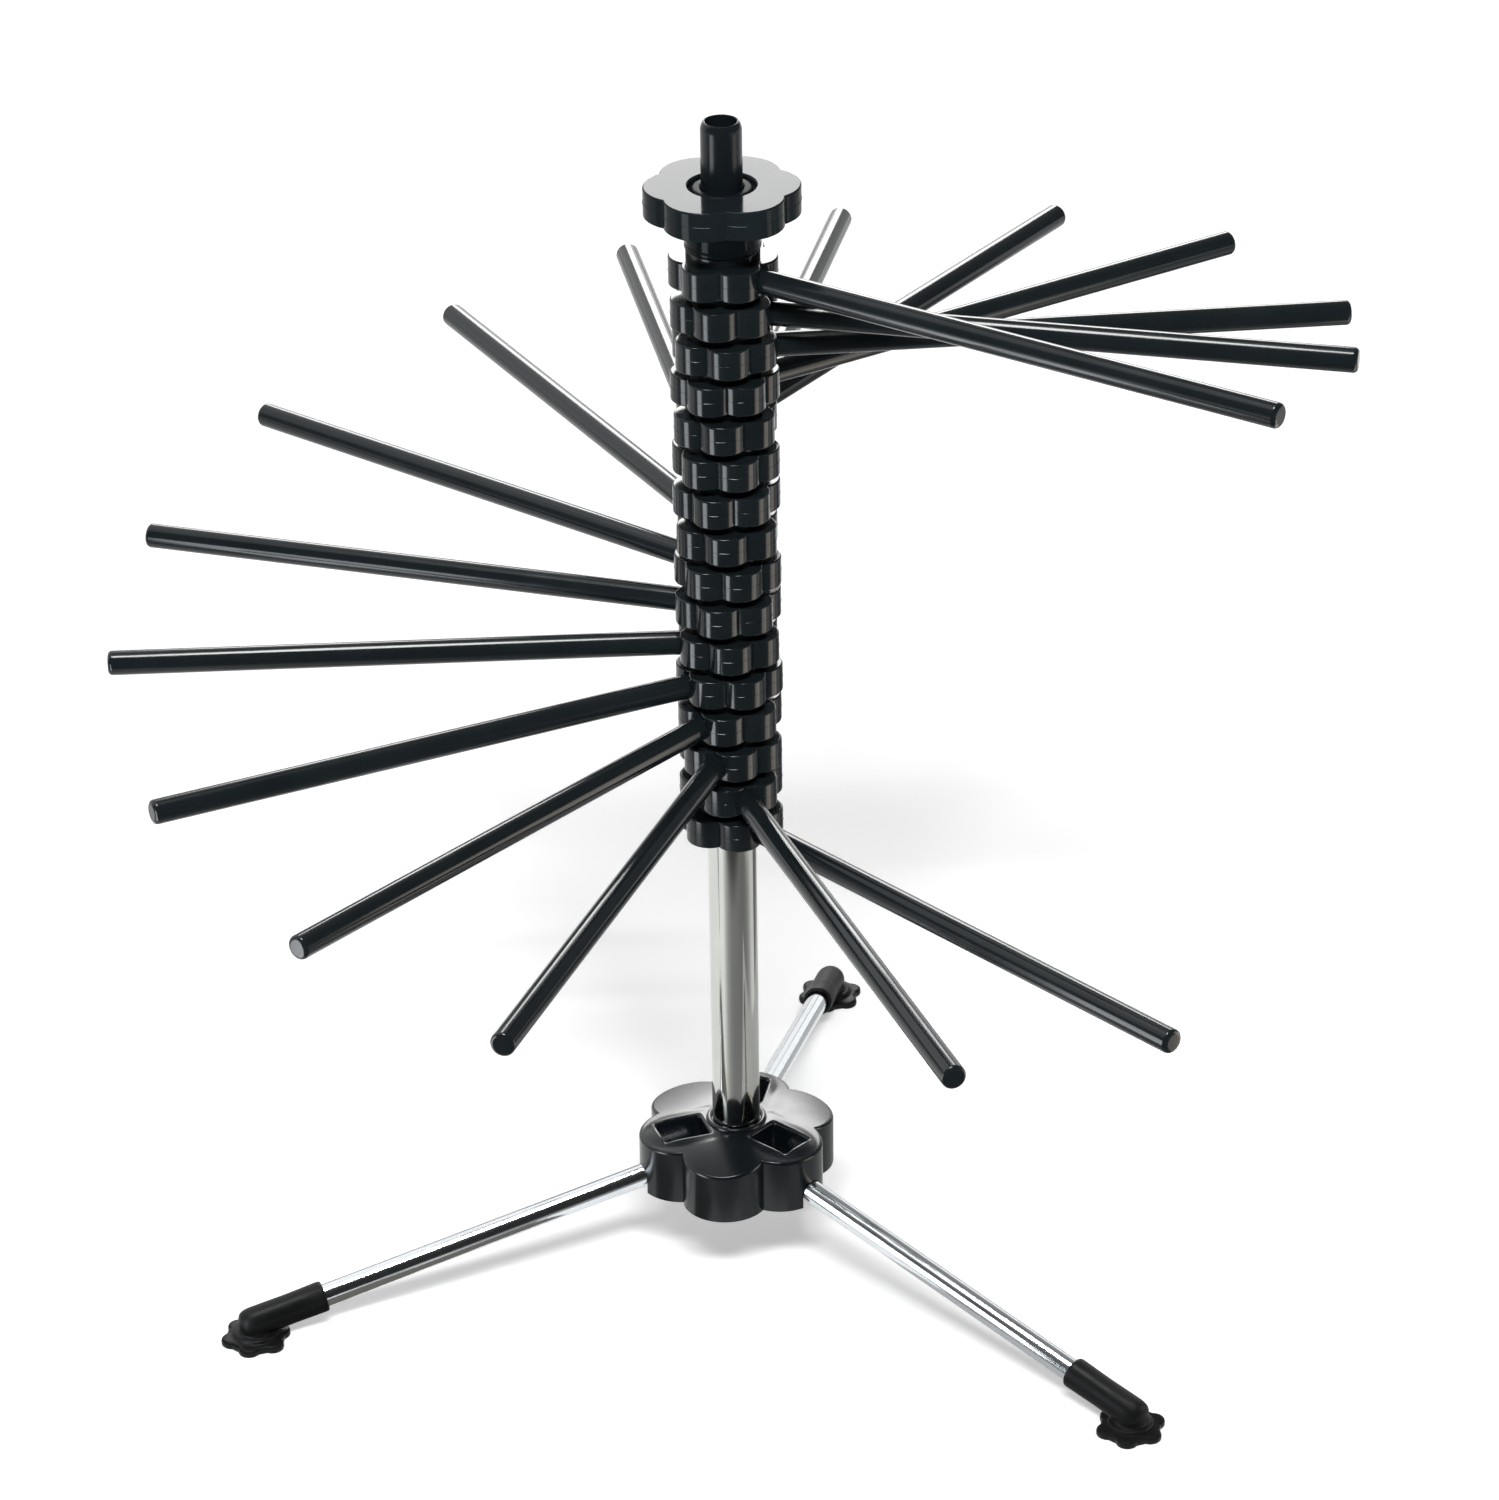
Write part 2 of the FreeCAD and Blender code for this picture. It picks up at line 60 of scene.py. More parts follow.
COLLAR_RADIUS = 12.8 * MM
COLLAR_ROUND = 1.3 * MM
DOME_DROP = 4.2 * MM
DOME_POWER = 1.7
DOME_LOW_LOBE = 1
DOME_LEG_LOBE = 0.78
SHOULDER_FLAT = 8.2 * MM
SHOULDER_FOOT = 14 * MM
SHOULDER_DROP = 1.2 * MM
SHOULDER_SQUASH = 0.8
RIM_ROUND = 1.2 * MM
WINDOW_INNER = 14.2 * MM
WINDOW_OUTER = 33.8 * MM
WINDOW_HALF = 7.5 * MM
WINDOW_SQUARENESS = 14
LIP_ROUND = 1.6 * MM
LIP_SUNK = 0.5 * MM
RIB = 3.5 * MM
PIVOT_REACH = 22 * MM
PIVOT_Z = BASE_FOOT + 10.3 * MM
LEG_SLOPE = math.radians(11.9)
NOTCH_HALF = 5.1 * MM
NOTCH_LENGTH = 40 * MM
LOBE_WALL = 2.6 * MM


def flower(angle, offset, radius, lobes):
    """Reach of a flower outline in one direction; a lobe lies at angle 0."""
    step = 2 * math.pi / lobes
    away = (angle + step / 2) % step - step / 2
    return offset * math.cos(away) + math.sqrt(radius**2 - (offset * math.sin(away)) ** 2)


def place_ring(piece, reach, height):
    """Sets the selected corners at a reach from the upright axis and a height, numbers or functions."""
    mesh = bmesh.from_edit_mesh(piece.data)
    for corner in mesh.verts:
        if corner.select:
            angle = math.atan2(corner.co.y, corner.co.x)
            away = reach(angle) if callable(reach) else reach
            corner.co.x = away * math.cos(angle)
            corner.co.y = away * math.sin(angle)
            corner.co.z = height(corner.co.x, corner.co.y) if callable(height) else height
    bmesh.update_edit_mesh(piece.data)


def draw_ring(piece, reach, height):
    """Extrudes the selected ring of edges and places the new ring."""
    bpy.ops.mesh.extrude_region_move()
    place_ring(piece, reach, height)


def start_ring(name, sides, reach, height):
    """Adds a circle as a new piece and leaves it open in edit mode, placed and selected."""
    bpy.ops.object.select_all(action="DESELECT")
    bpy.ops.mesh.primitive_circle_add(vertices=sides, radius=1)
    piece = bpy.context.object
    piece.name = name
    bpy.ops.object.mode_set(mode="EDIT")
    bpy.ops.mesh.select_mode(type="EDGE")
    bpy.ops.mesh.select_all(action="SELECT")
    place_ring(piece, reach, height)
    return piece


def open_piece(piece):
    """Takes one piece alone into edit mode."""
    bpy.ops.object.select_all(action="DESELECT")
    bpy.context.view_layer.objects.active = piece
    piece.select_set(True)
    bpy.ops.object.mode_set(mode="EDIT")


def pick(piece, kind, wanted):
    """Selects the edges or faces all of whose corners pass a test on their place."""
    bpy.ops.mesh.select_mode(type=kind)
    bpy.ops.mesh.select_all(action="DESELECT")
    mesh = bmesh.from_edit_mesh(piece.data)
    for part in mesh.edges if kind == "EDGE" else mesh.faces:
        part.select_set(all(wanted(corner.co) for corner in part.verts))
    bmesh.update_edit_mesh(piece.data)


def close_piece(piece, sharp_degrees):
    """Merges what meets, turns faces outwards and shades them smooth; flat faces still look flat."""
    bpy.ops.mesh.select_all(action="SELECT")
    bpy.ops.mesh.remove_doubles(threshold=0.001 * MM)
    bpy.ops.mesh.normals_make_consistent(inside=False)
    bpy.ops.object.mode_set(mode="OBJECT")
    bpy.ops.object.shade_smooth_by_angle(angle=math.radians(sharp_degrees))
    weigh = piece.modifiers.new("weigh", "WEIGHTED_NORMAL")
    weigh.keep_sharp = True
    bpy.ops.object.modifier_apply(modifier="weigh")


def cut(piece, tool, operation="DIFFERENCE"):
    """Cuts a piece with another one, or joins the two into one skin, and removes the other."""
    change = piece.modifiers.new("cut", "BOOLEAN")
    change.operation = operation
    change.solver = "EXACT"
    change.object = tool
    bpy.ops.object.select_all(action="DESELECT")
    bpy.context.view_layer.objects.active = piece
    bpy.ops.object.modifier_apply(modifier="cut")
    bpy.data.objects.remove(tool)


def join(pieces):
    """Joins pieces into the first of them."""
    bpy.ops.object.select_all(action="DESELECT")
    for piece in pieces:
        piece.select_set(True)
    bpy.context.view_layer.objects.active = pieces[0]
    bpy.ops.object.join()


def copy_turned(piece, name, matrix):
    """A copy with a mesh of its own, moved by a matrix that goes into the mesh."""
    twin = piece.copy()
    twin.data = piece.data.copy()
    twin.name = name
    twin.data.transform(matrix)
    bpy.context.collection.objects.link(twin)
    return twin


def thrice(piece):
    """Repeats a piece at the three legs and joins the copies to it."""
    twins = [
        copy_turned(piece, f"{piece.name}_{n}", Matrix.Rotation(math.radians(120 * n), 4, "Z"))
        for n in (1, 2)
    ]
    join([piece] + twins)


def base_outline(angle):
    return flower(angle, BASE_LOBE_OFFSET, BASE_LOBE_RADIUS, 6)


def base_top(x, y):
    """Height of the base's top, a leg at angle 0: domed lobes, and soft shoulders on three of them."""
    turn = math.atan2(y, x)
    middle = (DOME_LOW_LOBE + DOME_LEG_LOBE) / 2
    swing = (DOME_LOW_LOBE - DOME_LEG_LOBE) / 2
    out = math.hypot(x, y) * (middle - swing * math.cos(3 * turn)) - COLLAR_RADIUS
    high = BASE_TOP - DOME_DROP * (max(out, 0) / (BASE_REACH - COLLAR_RADIUS)) ** DOME_POWER
    turn = (turn + math.pi / 3) % (2 * math.pi / 3) - math.pi / 3
    ahead = math.hypot(x, y) * math.cos(turn)
    aside = math.hypot(x, y) * math.sin(turn)
    away = math.hypot(max(ahead - BASE_LOBE_OFFSET, 0) * SHOULDER_SQUASH, aside)
    share = min(max((away - SHOULDER_FLAT) / (SHOULDER_FOOT - SHOULDER_FLAT), 0), 1)
    shoulder = BASE_TOP - SHOULDER_DROP * share**2
    high += (shoulder - high) * (1 - share**2 * (3 - 2 * share))
    edge = max(RIM_ROUND - base_outline(turn) + math.hypot(x, y), 0)
    return high - RIM_ROUND + math.sqrt(max(RIM_ROUND**2 - edge**2, 0))


base = start_ring("base_moulding", 360, base_outline, BASE_FOOT)
bpy.ops.mesh.edge_face_add()
pick(base, "EDGE", lambda place: True)
draw_ring(base, base_outline, base_top)
# Rings run in from the rim, close together where it is rounded and 0.7 mm apart further in
inset = 0.02 * MM
while inset < BASE_REACH - COLLAR_RADIUS - 0.5 * MM:
    share = 1 - inset / BASE_REACH
    draw_ring(base, lambda angle: share * base_outline(angle), base_top)
    inset += min(0.06 * MM + 0.35 * inset, 0.7 * MM)
bpy.ops.mesh.edge_face_add()
close_piece(base, 40)

# Window over each leg: the top is opened, and a frame with a rolled lip lines the opening to the bottom
WINDOW_MIDDLE = (WINDOW_INNER + WINDOW_OUTER) / 2


def window_outline(grow):
    def reach(angle):
        across = abs(math.cos(angle)) / ((WINDOW_OUTER - WINDOW_INNER) / 2 + grow)
        aside = abs(math.sin(angle)) / (WINDOW_HALF + grow)
        return (across**WINDOW_SQUARENESS + aside**WINDOW_SQUARENESS) ** (-1 / WINDOW_SQUARENESS)

    return reach


def above_top(lift):
    def height(x, y):
        return base_top(x + WINDOW_MIDDLE, y) + lift

    return height


opening = start_ring("window_opening", 256, window_outline(LIP_ROUND), BASE_FOOT - 9 * MM)
bpy.ops.mesh.edge_face_add()
pick(opening, "EDGE", lambda place: True)
draw_ring(opening, window_outline(LIP_ROUND), BASE_TOP + 9 * MM)
bpy.ops.mesh.edge_face_add()
close_piece(opening, 40)
opening.data.transform(Matrix.Translation((WINDOW_MIDDLE, 0, 0)))
thrice(opening)
cut(base, opening)

frame_foot = BASE_FOOT + 0.4 * MM
lip = start_ring("window_frame", 256, window_outline(LIP_ROUND + LIP_SUNK), frame_foot)
draw_ring(lip, window_outline(LIP_ROUND + LIP_SUNK), above_top(-0.08 * MM))
draw_ring(lip, window_outline(LIP_ROUND + 0.1 * MM), above_top(0.02 * MM))
for step in range(1, 8):
    angle = math.radians(90 * step / 7)
    draw_ring(
        lip,
        window_outline(LIP_ROUND * (1 - math.sin(angle))),
        above_top(0.02 * MM - LIP_ROUND * (1 - math.cos(angle))),
    )
draw_ring(lip, window_outline(0), frame_foot)
draw_ring(lip, window_outline(LIP_ROUND + LIP_SUNK), frame_foot)
close_piece(lip, 40)
lip.data.transform(Matrix.Translation((WINDOW_MIDDLE, 0, 0)))
thrice(lip)
cut(base, lip, "UNION")

# Arched notch that the leg swings down through
bpy.ops.object.select_all(action="DESELECT")
bpy.ops.mesh.primitive_cylinder_add(
    vertices=64,
    radius=NOTCH_HALF,
    depth=NOTCH_LENGTH,
    location=(
        PIVOT_REACH + NOTCH_LENGTH / 2 * math.cos(LEG_SLOPE),
        0,
        PIVOT_Z - NOTCH_LENGTH / 2 * math.sin(LEG_SLOPE),
    ),
    rotation=(0, math.pi / 2 + LEG_SLOPE, 0),
)
notch = bpy.context.object
bpy.ops.object.transform_apply(location=True, rotation=True, scale=True)
open_piece(notch)
pick(notch, "FACE", lambda place: True)
mesh = bmesh.from_edit_mesh(notch.data)
down = Vector((-math.sin(LEG_SLOPE), 0, -math.cos(LEG_SLOPE)))
for face in mesh.faces:
    face.select_set(face.normal.dot(down) > 0.05)
bmesh.update_edit_mesh(notch.data)
bpy.ops.mesh.extrude_region_move(TRANSFORM_OT_translate={"value": down * NOTCH_LENGTH})
close_piece(notch, 40)
thrice(notch)
cut(base, notch)

# Hollow under each low lobe, kept clear of the ribs beside the channels and of the socket's boss
bpy.ops.object.select_all(action="DESELECT")
bpy.ops.mesh.primitive_cylinder_add(
    vertices=96,
    radius=BASE_LOBE_RADIUS - LOBE_WALL,
    depth=30 * MM,
    location=(BASE_LOBE_OFFSET * 0.5, BASE_LOBE_OFFSET * math.sqrt(0.75), BASE_FOOT + 3.5 * MM),
)
hollow = bpy.context.object
bpy.ops.object.transform_apply(location=True, rotation=True, scale=True)
for turn in (0, 120):
    bpy.ops.object.select_all(action="DESELECT")
    bpy.ops.mesh.primitive_cube_add(
        size=1,
        location=(
            WINDOW_OUTER / 2 * math.cos(math.radians(turn)),
            WINDOW_OUTER / 2 * math.sin(math.radians(turn)),
            BASE_FOOT,
        ),
        rotation=(0, 0, math.radians(turn)),
        scale=(WINDOW_OUTER, 2 * (WINDOW_HALF + RIB), 80 * MM),
    )
    ribs = bpy.context.object
    bpy.ops.object.transform_apply(location=True, rotation=True, scale=True)
    cut(hollow, ribs)
bpy.ops.object.select_all(action="DESELECT")
bpy.ops.mesh.primitive_cylinder_add(
    vertices=96, radius=COLLAR_RADIUS, depth=80 * MM, location=(0, 0, BASE_FOOT)
)
boss = bpy.context.object
bpy.ops.object.transform_apply(location=True, rotation=True, scale=True)
cut(hollow, boss)
thrice(hollow)
cut(base, hollow)
open_piece(base)
close_piece(base, 32)

# Collar: a full round bead about the tube, sunk in the top
collar = start_ring("collar_bead", 144, COLLAR_RADIUS, BASE_TOP - 2 * MM)
for step in range(13):
    angle = math.radians(15 * step)
    draw_ring(
        collar,
        COLLAR_RADIUS - COLLAR_ROUND * (1 - math.cos(angle)),
        COLLAR_TOP - COLLAR_ROUND * (1 - math.sin(angle)),
    )
draw_ring(collar, COLLAR_RADIUS - 2 * COLLAR_ROUND, BASE_TOP - 2 * MM)
draw_ring(collar, COLLAR_RADIUS, BASE_TOP - 2 * MM)
close_piece(collar, 40)
join([base, collar])
base.data.transform(Matrix.Rotation(LEG_TURNS["rear"], 4, "Z"))


def linear(hex_colour):
    """An sRGB hex colour as linear RGBA."""
    parts = [int(hex_colour[n : n + 2], 16) / 255 for n in (1, 3, 5)]
    return [c / 12.92 if c <= 0.04045 else ((c + 0.055) / 1.055) ** 2.4 for c in parts] + [1]


def add_node(tree, kind, inputs, **settings):
    """Adds a node, sets its options, and gives each input a value or a link."""
    node = tree.nodes.new(kind)
    for option, value in settings.items():
        setattr(node, option, value)
    for socket, value in inputs.items():
        if isinstance(value, bpy.types.NodeSocket):
            tree.links.new(value, node.inputs[socket])
        else:
            node.inputs[socket].default_value = value
    return node


def new_material(name):
    """An empty material, with its tree and the surface socket of its output."""
    material = bpy.data.materials.new(name)
    material.use_nodes = True
    material.node_tree.nodes.clear()
    output = material.node_tree.nodes.new("ShaderNodeOutputMaterial")
    return material, material.node_tree, output.inputs["Surface"]


def moulded_black(name, dark, light, shine, gloss, dull, flow_mm, peel_mm, peel_depth_mm):
    """Injection-moulded black plastic: a deep gloss with faint flow marks, orange peel and dust."""
    material, tree, surface = new_material(name)
    place = add_node(tree, "ShaderNodeTexCoord", {}).outputs["Object"]
    flow = add_node(
        tree,
        "ShaderNodeTexNoise",
        {"Vector": place, "Scale": 1 / (flow_mm * MM), "Detail": 3, "Distortion": 0.6},
    ).outputs["Fac"]
    peel = add_node(
        tree,
        "ShaderNodeTexNoise",
        {"Vector": place, "Scale": 1 / (peel_mm * MM), "Detail": 2, "Roughness": 0.4},
    ).outputs["Fac"]
    # Dust specks are drawn at 0.5 mm, coarser than real dust, so that they show
    dust = add_node(
        tree, "ShaderNodeTexNoise", {"Vector": place, "Scale": 1 / (0.5 * MM), "Detail": 1}
    ).outputs["Fac"]
    speck = add_node(
        tree,
        "ShaderNodeMapRange",
        {"Value": dust, "From Min": 0.68, "From Max": 0.82, "To Max": 0.1},
    ).outputs["Result"]
    blush = add_node(
        tree, "ShaderNodeMix", {0: flow, 6: linear(dark), 7: linear(light)}, data_type="RGBA"
    ).outputs[2]
    colour = add_node(
        tree, "ShaderNodeMix", {0: speck, 6: blush, 7: linear("#5a5c5e")}, data_type="RGBA"
    ).outputs[2]
    haze = add_node(
        tree,
        "ShaderNodeMapRange",
        {"Value": flow, "From Min": 0.3, "From Max": 0.7, "To Min": gloss, "To Max": dull},
    ).outputs["Result"]
    rough = add_node(tree, "ShaderNodeMath", {0: haze, 1: speck}, operation="ADD").outputs[0]
    bump = add_node(
        tree,
        "ShaderNodeBump",
        {"Height": peel, "Strength": 1, "Distance": peel_depth_mm * MM},
    ).outputs["Normal"]
    shader = add_node(
        tree,
        "ShaderNodeBsdfPrincipled",
        {
            "Base Color": colour,
            "Roughness": rough,
            "IOR": 1.53,
            "Specular IOR Level": shine,
            "Normal": bump,
        },
    )
    tree.links.new(shader.outputs[0], surface)
    return material


# The base's mould was polished less than the others: a satin gloss that softens what it mirrors
base.data.materials.clear()
base.data.materials.append(
    moulded_black(
        "moulded_black_abs_satin", "#0a0f12", "#10161a",
        shine=0.36, gloss=0.18, dull=0.26, flow_mm=18, peel_mm=1.6, peel_depth_mm=0.003,
    )
)
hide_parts("base_hub")
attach(base, "stand")


# Legs: drawn steel bar, nickel plated bright, cut square and drilled across for the pin it folds on.
# Each sits in its channel in the base and slopes down to a rubber boot.
LEG_RADIUS = 4.8 * MM
LEG_TAIL = 5 * MM
FOOT_REACH = 212.2 * MM
ELBOW_Z = 8.7 * MM
LEG_END = 7 * MM
LEG_SPAN = (FOOT_REACH - PIVOT_REACH) / math.cos(LEG_SLOPE)


def plated_steel(name, bright, shade, source, stretch, gloss, dull, line_depth_mm):
    """Bright plated steel: a mirror with fine drawing lines along it and a faint haze of handling."""
    material, tree, surface = new_material(name)
    place = add_node(tree, "ShaderNodeTexCoord", {}).outputs
    grain = add_node(tree, "ShaderNodeMapping", {"Vector": place[source], "Scale": stretch}).outputs[0]
    lines = add_node(
        tree, "ShaderNodeTexNoise", {"Vector": grain, "Scale": 1, "Detail": 3, "Roughness": 0.6}
    ).outputs["Fac"]
    smear = add_node(
        tree,
        "ShaderNodeTexNoise",
        {"Vector": place["Object"], "Scale": 1 / (22 * MM), "Detail": 4, "Distortion": 0.8},
    ).outputs["Fac"]
    tint = add_node(
        tree, "ShaderNodeMix", {0: smear, 6: linear(bright), 7: linear(shade)}, data_type="RGBA"
    ).outputs[2]
    haze = add_node(
        tree,
        "ShaderNodeMapRange",
        {"Value": smear, "From Min": 0.35, "From Max": 0.7, "To Min": gloss, "To Max": dull},
    ).outputs["Result"]
    streak = add_node(
        tree,
        "ShaderNodeMapRange",
        {"Value": lines, "From Min": 0.3, "From Max": 0.7, "To Min": -0.02, "To Max": 0.04},
    ).outputs["Result"]
    rough = add_node(tree, "ShaderNodeMath", {0: haze, 1: streak}, operation="ADD").outputs[0]
    bump = add_node(
        tree, "ShaderNodeBump", {"Height": lines, "Strength": 1, "Distance": line_depth_mm * MM}
    ).outputs["Normal"]
    shader = add_node(
        tree,
        "ShaderNodeBsdfPrincipled",
        {"Base Color": tint, "Metallic": 1, "Roughness": rough, "Normal": bump},
    )
    tree.links.new(shader.outputs[0], surface)
    return material


# Bright nickel, a cold mirror. Drawing lines run down the bar's own UV map, which is one unit round the
# bar and half a unit along it, so they lie 0.4 mm apart and are about 180 mm long
leg_steel = plated_steel(
    "nickel_plated_steel", "#dfe3e6", "#cdd2d6",
    source="UV", stretch=(75, 2.2, 1), gloss=0.07, dull=0.12, line_depth_mm=0.0004,
)
bpy.ops.object.select_all(action="DESELECT")
leg_length = LEG_TAIL + LEG_SPAN - LEG_END
bpy.ops.mesh.primitive_cylinder_add(
    vertices=72, radius=LEG_RADIUS, depth=leg_length, location=(0, 0, leg_length / 2 - LEG_TAIL)
)
leg = bpy.context.object
bpy.ops.object.transform_apply(location=True, rotation=True, scale=True)
open_piece(leg)
pick(leg, "EDGE", lambda place: place.z < 0 or place.z > leg_length - LEG_TAIL - 0.1 * MM)
bpy.ops.mesh.bevel(offset=0.5 * MM, segments=3, affect="EDGES")
close_piece(leg, 30)
leg.data.transform(
    Matrix.Translation((PIVOT_REACH, 0, PIVOT_Z)) @ Matrix.Rotation(math.pi / 2 + LEG_SLOPE, 4, "Y")
)
leg.data.materials.append(leg_steel)
for side, turn in LEG_TURNS.items():
    bar = copy_turned(leg, f"leg_bar_{side}", Matrix.Rotation(turn, 4, "Z"))
    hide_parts(f"leg_{side}")
    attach(bar, f"leg_{side}")
bpy.data.objects.remove(leg)


# Pivot pins: short turned steel pins with chamfered ends, pressed through the two ribs beside a leg.
# A glint of one shows through the window over the leg.
PIN_RADIUS = 2 * MM
PIN_LENGTH = 2 * (WINDOW_HALF + RIB)
# Plain turned steel, duller than the legs, with a grain of 0.3 mm by 1.5 mm from the tool
pin_steel = plated_steel(
    "turned_pin_steel", "#d8d6d2", "#b9b6b0",
    source="UV", stretch=(40, 30, 1), gloss=0.12, dull=0.2, line_depth_mm=0.003,
)
bpy.ops.object.select_all(action="DESELECT")
bpy.ops.mesh.primitive_cylinder_add(
    vertices=48,
    radius=PIN_RADIUS,
    depth=PIN_LENGTH,
    location=(PIVOT_REACH, 0, PIVOT_Z),
    rotation=(math.pi / 2, 0, 0),
)
pin = bpy.context.object
bpy.ops.object.transform_apply(location=True, rotation=True, scale=True)
open_piece(pin)
pick(pin, "EDGE", lambda place: abs(place.y) > PIN_LENGTH / 2 - 0.1 * MM)
bpy.ops.mesh.bevel(offset=0.4 * MM, segments=2, affect="EDGES")
close_piece(pin, 30)
pin.data.materials.append(pin_steel)
for side, turn in LEG_TURNS.items():
    twin = copy_turned(pin, f"pivot_pin_{side}", Matrix.Rotation(turn, 4, "Z"))
    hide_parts(f"leg_pin_{side}")
    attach(twin, "stand")
bpy.data.objects.remove(pin)


# Boots: soft black rubber, moulded in one piece: a sleeve pushed on the leg's end, a bent heel with a
# step round its foot, and a thin flower-shaped pad. The skin is matt and every corner is soft.
SLEEVE_RADIUS = 6.6 * MM
SLEEVE_LENGTH = 31 * MM
PAD_HEIGHT = 3.6 * MM
PAD_CORE = 12.2 * MM
PAD_LOBE_OFFSET = 10.1 * MM
PAD_LOBE_RADIUS = 4.6 * MM
STEP_RADIUS = 9.4 * MM


def pad_outline(shrink):
    def reach(angle):
        step = math.pi / 3
        away = (angle + step / 2) % step - step / 2
        aside = PAD_LOBE_OFFSET * math.sin(away)
        lobe = 0
        if abs(aside) < PAD_LOBE_RADIUS:
            lobe = PAD_LOBE_OFFSET * math.cos(away) + math.sqrt(PAD_LOBE_RADIUS**2 - aside**2)
        return max(lobe, PAD_CORE) - shrink

    return reach


boot = start_ring("boot", 240, pad_outline(0.4 * MM), 0)
bpy.ops.mesh.edge_face_add()
pick(boot, "EDGE", lambda place: True)
draw_ring(boot, pad_outline(0), 0.5 * MM)
draw_ring(boot, pad_outline(0), 2.3 * MM)
draw_ring(boot, pad_outline(0.3 * MM), 2.9 * MM)
draw_ring(boot, pad_outline(1.2 * MM), 3.2 * MM)
draw_ring(boot, STEP_RADIUS, PAD_HEIGHT - 0.3 * MM)
draw_ring(boot, STEP_RADIUS - 0.3 * MM, PAD_HEIGHT + 0.7 * MM)
draw_ring(boot, STEP_RADIUS - 0.9 * MM, PAD_HEIGHT + 1.1 * MM)
draw_ring(boot, SLEEVE_RADIUS + 0.3 * MM, PAD_HEIGHT + 1.2 * MM)
draw_ring(boot, SLEEVE_RADIUS, ELBOW_Z - 2.4 * MM)
draw_ring(boot, SLEEVE_RADIUS * 0.97, ELBOW_Z)
bpy.ops.mesh.edge_face_add()
close_piece(boot, 60)

# Sleeve with a faintly swollen mouth, chamfered towards the leg, and the round of the heel
sleeve = start_ring("sleeve", 96, LEG_RADIUS - 0.4 * MM, SLEEVE_LENGTH - 2 * MM)
bpy.ops.mesh.edge_face_add()
pick(sleeve, "EDGE", lambda place: True)
draw_ring(sleeve, LEG_RADIUS + 0.4 * MM, SLEEVE_LENGTH)
draw_ring(sleeve, SLEEVE_RADIUS - 0.6 * MM, SLEEVE_LENGTH)
draw_ring(sleeve, SLEEVE_RADIUS - 0.1 * MM, SLEEVE_LENGTH - 0.5 * MM)
draw_ring(sleeve, SLEEVE_RADIUS, SLEEVE_LENGTH - 1.5 * MM)
draw_ring(sleeve, SLEEVE_RADIUS - 0.2 * MM, SLEEVE_LENGTH * 0.5)
draw_ring(sleeve, SLEEVE_RADIUS, 0)
draw_ring(sleeve, SLEEVE_RADIUS * 0.985, -2.0 * MM)
draw_ring(sleeve, SLEEVE_RADIUS * 0.93, -3.8 * MM)
draw_ring(sleeve, SLEEVE_RADIUS * 0.8, -5.2 * MM)
draw_ring(sleeve, SLEEVE_RADIUS * 0.58, -6.1 * MM)
draw_ring(sleeve, SLEEVE_RADIUS * 0.28, -6.5 * MM)
bpy.ops.mesh.edge_face_add()
close_piece(sleeve, 60)
sleeve.data.transform(
    Matrix.Translation((0, 0, ELBOW_Z)) @ Matrix.Rotation(LEG_SLOPE - math.pi / 2, 4, "Y")
)
cut(boot, sleeve, "UNION")
bpy.ops.object.select_all(action="DESELECT")
boot.select_set(True)
bpy.context.view_layer.objects.active = boot
melt = boot.modifiers.new("melt", "REMESH")
melt.mode = "VOXEL"
melt.voxel_size = 0.4 * MM
bpy.ops.object.modifier_apply(modifier="melt")
soften = boot.modifiers.new("soften", "SMOOTH")
soften.factor = 0.5
soften.iterations = 6
bpy.ops.object.modifier_apply(modifier="soften")
bpy.ops.object.shade_smooth()
boot.data.transform(Matrix.Translation((FOOT_REACH, 0, -min(v.co.z for v in boot.data.vertices))))

# Rubber: a matt, faintly greyed black with a fine leathery skin and paler bloom in patches
boot_rubber, tree, surface = new_material("moulded_black_rubber")
place = add_node(tree, "ShaderNodeTexCoord", {}).outputs["Object"]
bloom = add_node(
    tree, "ShaderNodeTexNoise", {"Vector": place, "Scale": 1 / (9 * MM), "Detail": 4}
).outputs["Fac"]
skin = add_node(
    tree, "ShaderNodeTexNoise", {"Vector": place, "Scale": 1 / (0.9 * MM), "Detail": 3}
).outputs["Fac"]
shade = add_node(
    tree, "ShaderNodeMix", {0: bloom, 6: linear("#0b0c0c"), 7: linear("#141516")}, data_type="RGBA"
).outputs[2]
rough = add_node(
    tree,
    "ShaderNodeMapRange",
    {"Value": bloom, "From Min": 0.3, "From Max": 0.7, "To Min": 0.36, "To Max": 0.5},
).outputs["Result"]
bump = add_node(
    tree, "ShaderNodeBump", {"Height": skin, "Strength": 0.6, "Distance": 0.04 * MM}
).outputs["Normal"]
shader = add_node(
    tree,
    "ShaderNodeBsdfPrincipled",
    {"Base Color": shade, "Roughness": rough, "IOR": 1.52, "Specular IOR Level": 0.12, "Normal": bump},
)
tree.links.new(shader.outputs[0], surface)
boot.data.materials.clear()
boot.data.materials.append(boot_rubber)
for side, turn in LEG_TURNS.items():
    twin = copy_turned(boot, f"rubber_boot_{side}", Matrix.Rotation(turn, 4, "Z"))
    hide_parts(f"boot_{side}")
    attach(twin, f"leg_{side}")
bpy.data.objects.remove(boot)


